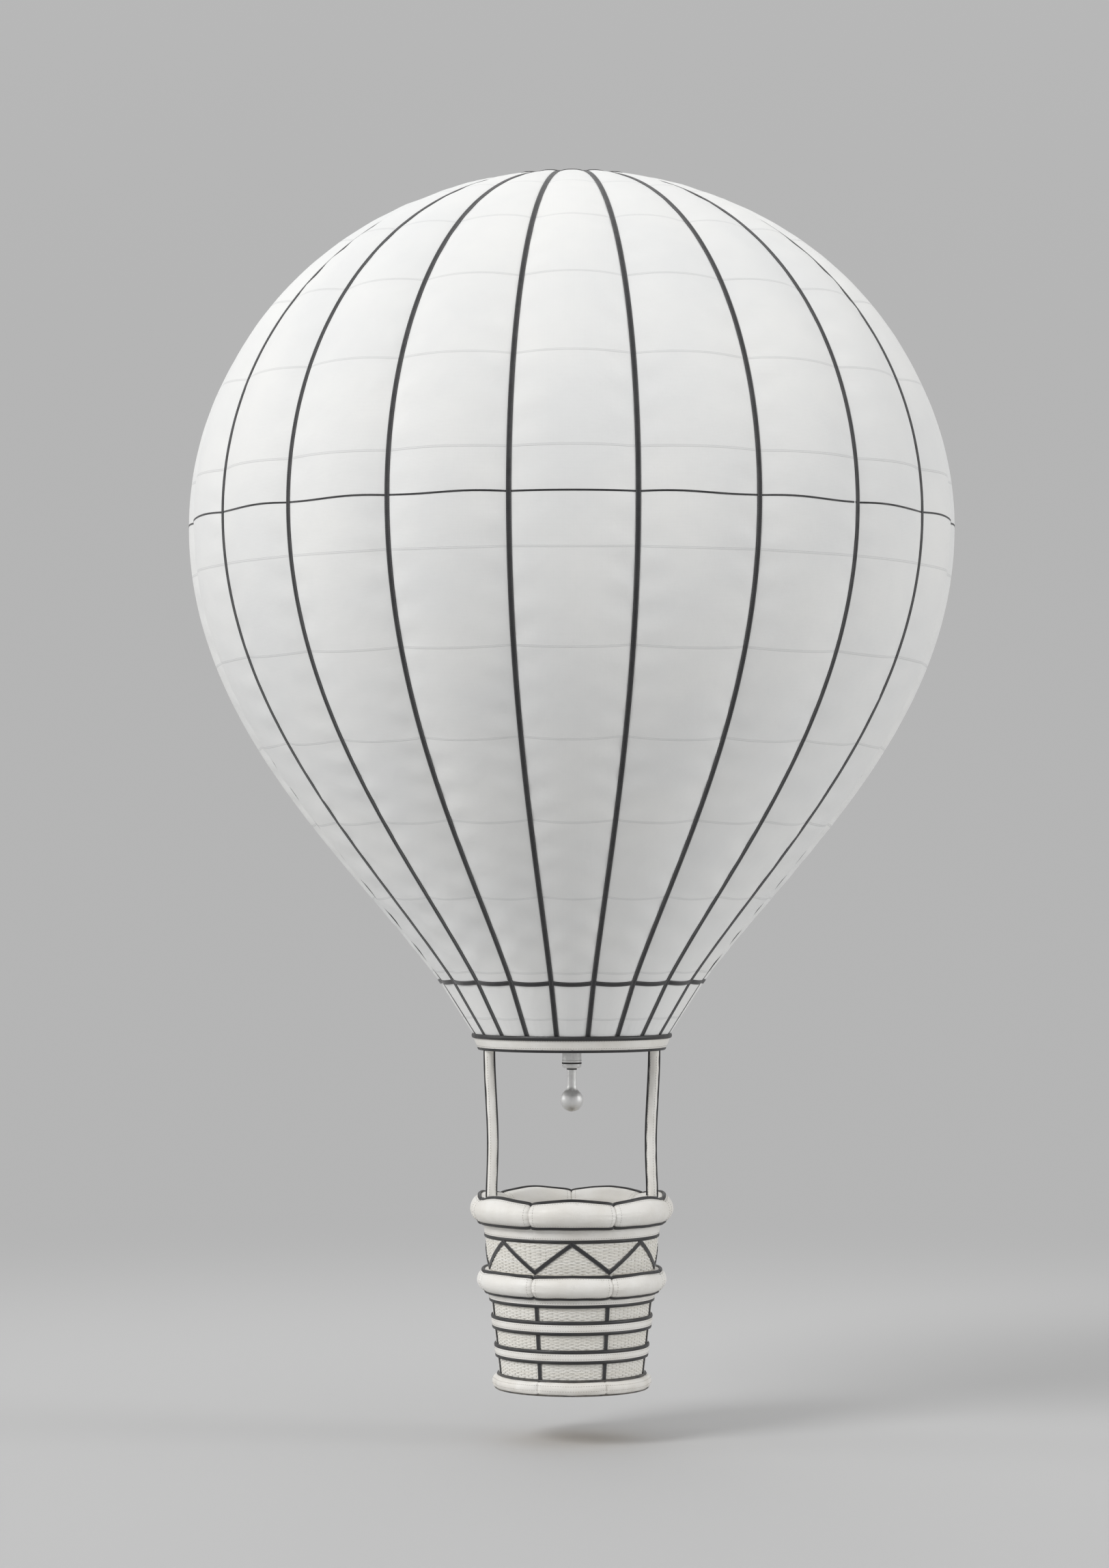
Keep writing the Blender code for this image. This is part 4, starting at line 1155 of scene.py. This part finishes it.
def add_wall():
    """The inner wall, woven in relief on its inside: u counts the spokes and v the strands."""
    level = np.arange(2 * WALL_STRANDS + 1)
    z = BASKET_BOTTOM + (WALL_TOP - GAP - BASKET_BOTTOM) * level / level[-1]
    over = np.cos(math.pi * (np.arange(SPOKES)[:, None] + level // 2))
    relief = np.where(level % 2 == 1, 0.0055 + 0.0040 * over, 0.0)
    relief = np.where(z < BASKET_BOTTOM + FLOOR_THICK, WALL_RELIEF, relief)
    inner = wall_outer(z) - WALL_THICK + WALL_RELIEF - relief
    outer_z = np.array([WALL_TOP - GAP, WALL_STATIONS[1][0], BASKET_BOTTOM])
    outer = np.broadcast_to(wall_outer(outer_z) - 0.002, (SPOKES, 3))
    points = polar(np.hstack([inner, outer]), around(SPOKES)[:, None], np.append(z, outer_z))
    v = np.append(level / 2, WALL_STRANDS * np.array([1.0, 1.5, 2.0, 2.1]))
    piece = Piece().ring(points, np.arange(SPOKES + 1)[:, None], v)
    piece.make("wall_cane", "weave", "basket_wall", sharp=85)


def strap(piece, azimuths, z, off, thick):
    """Adds a strap on the wall along (azimuth, z), with rounded edges."""
    reach = wall_outer(z).mean()
    step_x, step_z = np.gradient(azimuths * reach), np.gradient(z)
    size = np.hypot(step_x, step_z)
    offsets = np.array([-1, -0.88, -0.4, 0, 0.4, 0.88, 1]) * STRAP_WIDE / 2
    rise = thick * np.array([0.45, 0.85, 1, 1, 1, 0.85, 0.45])
    a = azimuths[:, None] - offsets * (step_z / size)[:, None] / reach
    level = z[:, None] + offsets * (step_x / size)[:, None]
    sides = (polar(wall_outer(level) + off + height, a, level) for height in (rise, 0 * rise))
    run = runs(np.hypot(*np.diff([azimuths * 1.3, z], axis=1)))
    piece.shell(*sides, run[:, None], offsets)


def add_zigzag():
    """The black strap that zigzags round the upper panel, folded over at each point."""
    piece = Piece()
    top, bottom = CUFF_BOTTOM - 0.034, MID_ROLL_TOP + 0.040
    share = np.linspace(-0.02, 1.02, 15)
    for k in range(PANELS):
        for side, fold in ((-1, 0), (1, 0.003)):
            azimuths = FRONT + PANEL_ANGLE * (k + side * share / 2)
            strap(piece, azimuths, top + (bottom - top) * share, 2 * GAP + PANEL_THICK + fold, 0.011)
    piece.make("zigzag_webbing", "tape", "zigzag_strap")


def add_stakes():
    """Seven black stakes, under the low points of the zigzag."""
    z = np.linspace(HOOP_LEVELS[0][0] - GAP, BASE_RING_TOP + 0.002, 30)
    for n in range(PANELS):
        piece = Piece()
        strap(piece, np.full(30, FRONT + (n + 0.5) * PANEL_ANGLE), z, 3 * GAP + PANEL_THICK, 0.012)
        piece.make(f"stake_webbing_{n + 1}", "tape", f"stake_{n + 1}")


def add_floor():
    """Boards side by side, cut to the round of the wall, on the basket's floor."""
    piece = Piece()
    reach = float(wall_outer(BASKET_BOTTOM)) - WALL_THICK - 2 * GAP
    boards, chamfer, apart = 12, 0.004, 0.0003
    edges = np.linspace(-reach, reach, boards + 1)
    drop = chamfer * np.array([1, 0, 0, 0, 0, 0, 0, 0, 1])[:, None]
    for y0, y1 in zip(edges + apart, edges[1:] - apart):
        y = np.array([y0, *np.linspace(y0 + chamfer, y1 - chamfer, 7), y1])[:, None]
        half = np.sqrt(np.maximum(reach**2 - np.minimum(np.abs(y), reach * 0.999) ** 2, 1e-6))
        x = half * np.linspace(-1, 1, 3)
        levels = (BASKET_BOTTOM + FLOOR_THICK - drop, BASKET_BOTTOM + drop)
        piece.shell(*(np.stack(np.broadcast_arrays(x, y, z), -1) for z in levels))
    piece.make("floor_boards", "board", "basket_floor")


# Burner


def bar(piece, radius, start, end, axis=0, sides=20):
    """Adds a level bar along X or Y at the height of the burner's pins."""
    ends = [Vector((0, 0, PIVOT_Z)), Vector((0, 0, PIVOT_Z))]
    ends[0][axis], ends[1][axis] = start, end
    rod(piece, radius, *ends, sides)


def add_frame():
    """Two bars from the mouth ring, with collars, and the gimbal ring on its pins."""
    bars, gimbal = Piece(), Piece()
    half = GIMBAL_HIGH / 2
    lathe(gimbal, box_section(GIMBAL_INNER, GIMBAL_OUTER, PIVOT_Z - half, PIVOT_Z + half, 0.006, 3), 96)
    for side in (-1, 1):
        inner, outer = side * (GIMBAL_OUTER + 0.007), side * (MOUTH_RING_INNER - 0.003)
        bar(bars, BAR_RADIUS, inner, outer, sides=28)
        bar(bars, BAR_RADIUS + 0.007, inner, inner + side * 0.05, sides=28)
        bar(bars, BAR_RADIUS + 0.012, outer - side * 0.020, outer, sides=28)
        bar(gimbal, PIN_RADIUS, side * (GIMBAL_INNER + 0.010), side * (GIMBAL_OUTER + PIN_REACH))
    bars.make("burner_bars", "steel", "burner_bar_left", "burner_bar_right")
    gimbal.make("gimbal_steel", "steel", "gimbal_ring", body="gimbal")


def arc(r, z, radius, start, end, count):
    """(radius, z) points on an arc, between two angles."""
    return [(r + radius * math.cos(t), z + radius * math.sin(t)) for t in np.linspace(start, end, count)]


def add_burner():
    """The burner can with rolled beads and its trunnions, and the bulb on its neck below."""
    can, gaskets = Piece(), Piece()
    centre, wall, lip, round_off = 0.004, 0.010, 0.004, 0.035
    inner = CAN_RADIUS - wall
    section = [(centre, CAN_FLOOR), (inner - 0.012, CAN_FLOOR), (inner, CAN_FLOOR + 0.012)]
    section += [(inner, CAN_TOP - lip), (CAN_RADIUS - wall / 2, CAN_TOP), (CAN_RADIUS, CAN_TOP - lip)]
    bead = ((0.010, 0), (0.005, 0.0045), (0, 0.006), (-0.005, 0.0045), (-0.010, 0))
    for z in (CAN_TOP - 0.045, CAN_FLOOR + 0.010):
        section += [(CAN_RADIUS + out, z + step) for step, out in bead]
    section += arc(CAN_RADIUS - round_off, CAN_BOTTOM + round_off, round_off, 0, -math.pi / 2, 7)
    lathe(can, [*section, (centre, CAN_BOTTOM)], 72)
    for side in (-1, 1):
        start, tip = side * (CAN_RADIUS - 0.005), side * (GIMBAL_OUTER + 0.010)
        bar(can, PIN_RADIUS, start, tip, 1)
        bar(can, PIN_RADIUS + 0.012, start, start + side * 0.025, 1)
    can.make("burner_can_steel", "steel", "burner_can", body="burner")

    for radius, z, tall, steps in (
        (CAN_RADIUS, CAN_TOP - 0.016, 0.026, 72),
        (CAN_RADIUS, CAN_FLOOR - 0.030, 0.026, 72),
        (NECK_RADIUS, CAN_BOTTOM - 0.016, 0.022, 48),
    ):
        tube(gaskets, *hoop_path(radius + 0.001, z, around(steps)), 0.010, tall, 8)
    gaskets.make("burner_gaskets", "piping", body="burner")

    top, fillet = CAN_BOTTOM - GAP, 0.120
    neck = NECK_RADIUS + fillet
    low = BULB_Z + math.sqrt((BULB_RADIUS + fillet) ** 2 - neck**2)
    meet = math.atan2(low - BULB_Z, neck)
    section = [(centre, top), (NECK_RADIUS - lip, top), (NECK_RADIUS, top - lip)]
    section += arc(neck, low, -fillet, 0, meet, 12)
    section += arc(0, BULB_Z, BULB_RADIUS, meet - 0.08, math.radians(-88.5), 26)
    lathe(Piece(), section, 72).make("burner_bulb_steel", "steel", "burner_bulb", body="burner")


# Stage


def add_stage():
    """A pale floor that fades into an even pale surround, and soft light."""
    world = bpy.data.worlds.new("studio")
    bpy.context.scene.world = world
    sky = Graph(world, "Background")
    height = sky.split(sky.make("TexCoord", output="Generated"))[2]
    light = sky.ramp(height, 0.10, 0.90, HORIZON_GREY, ZENITH_GREY, "SMOOTHSTEP")
    sky.feed(sky.shader.inputs["Color"], light)

    rim = polar(150.0, around(96), 0.0).tolist()
    mesh = bpy.data.meshes.new("studio_floor")
    mesh.from_pydata(rim, [], [list(range(len(rim)))])
    floor = linked("studio_floor", mesh)
    floor.location.z = BASKET_BOTTOM - 0.8
    g = skin("studio_floor", (0.53, 0.53, 0.53), 0.9)
    far = g.make("VectorMath", {0: g.place}, "Value", operation="LENGTH")
    glow = g.make("Emission", {"Color": (HORIZON_GREY,) * 3})
    fade = g.ramp(far, 6, 42, kind="SMOOTHERSTEP")
    mixed = g.make("MixShader", {0: fade, 1: g.shader.outputs[0], 2: glow})
    g.feed(g.tree.nodes["Material Output"].inputs["Surface"], mixed)
    mesh.materials.append(g.material)

    for name, azimuth, elevation, strength, spread in (
        ("key", -48, 38, 1.26, 22),
        ("right", 78, 13, 0.82, 26),
        ("left", -95, 13, 0.44, 26),
        ("back", 190, 40, 0.20, 40),
    ):
        light = bpy.data.lights.new(name, "SUN")
        light.energy = strength
        light.angle = math.radians(spread)
        obj = linked(name, light)
        turn, rise = FRONT + math.radians(azimuth), math.radians(elevation)
        towards = Vector(polar(math.cos(rise), turn, math.sin(rise)))
        obj.rotation_mode = "QUATERNION"
        obj.rotation_quaternion = towards.to_track_quat("Z", "Y")
    bpy.context.scene.view_settings.view_transform = "Standard"


def add_camera():
    """The drawing's view: far off, level with the lower envelope, looking slightly up."""
    data = bpy.data.cameras.new("camera")
    data.sensor_width = 36
    data.lens = 89.4
    data.clip_end = 1000
    camera = linked("camera", data)
    camera.location = (-0.27, -61, -5.6)
    camera.rotation_euler = (math.radians(90 + 1.49), 0, 0)
    bpy.context.scene.camera = camera


add_camera()
add_stage()
add_gores()
add_webbing()
add_equator_tape()
add_skirt()
add_vent()
add_crown_ring()
add_mouth()
add_frame()
add_burner()
add_posts()
add_rim()
add_cuff()
add_weave()
add_zigzag()
add_mid()
add_stakes()
add_hoops()
add_base()
add_wall()
add_floor()
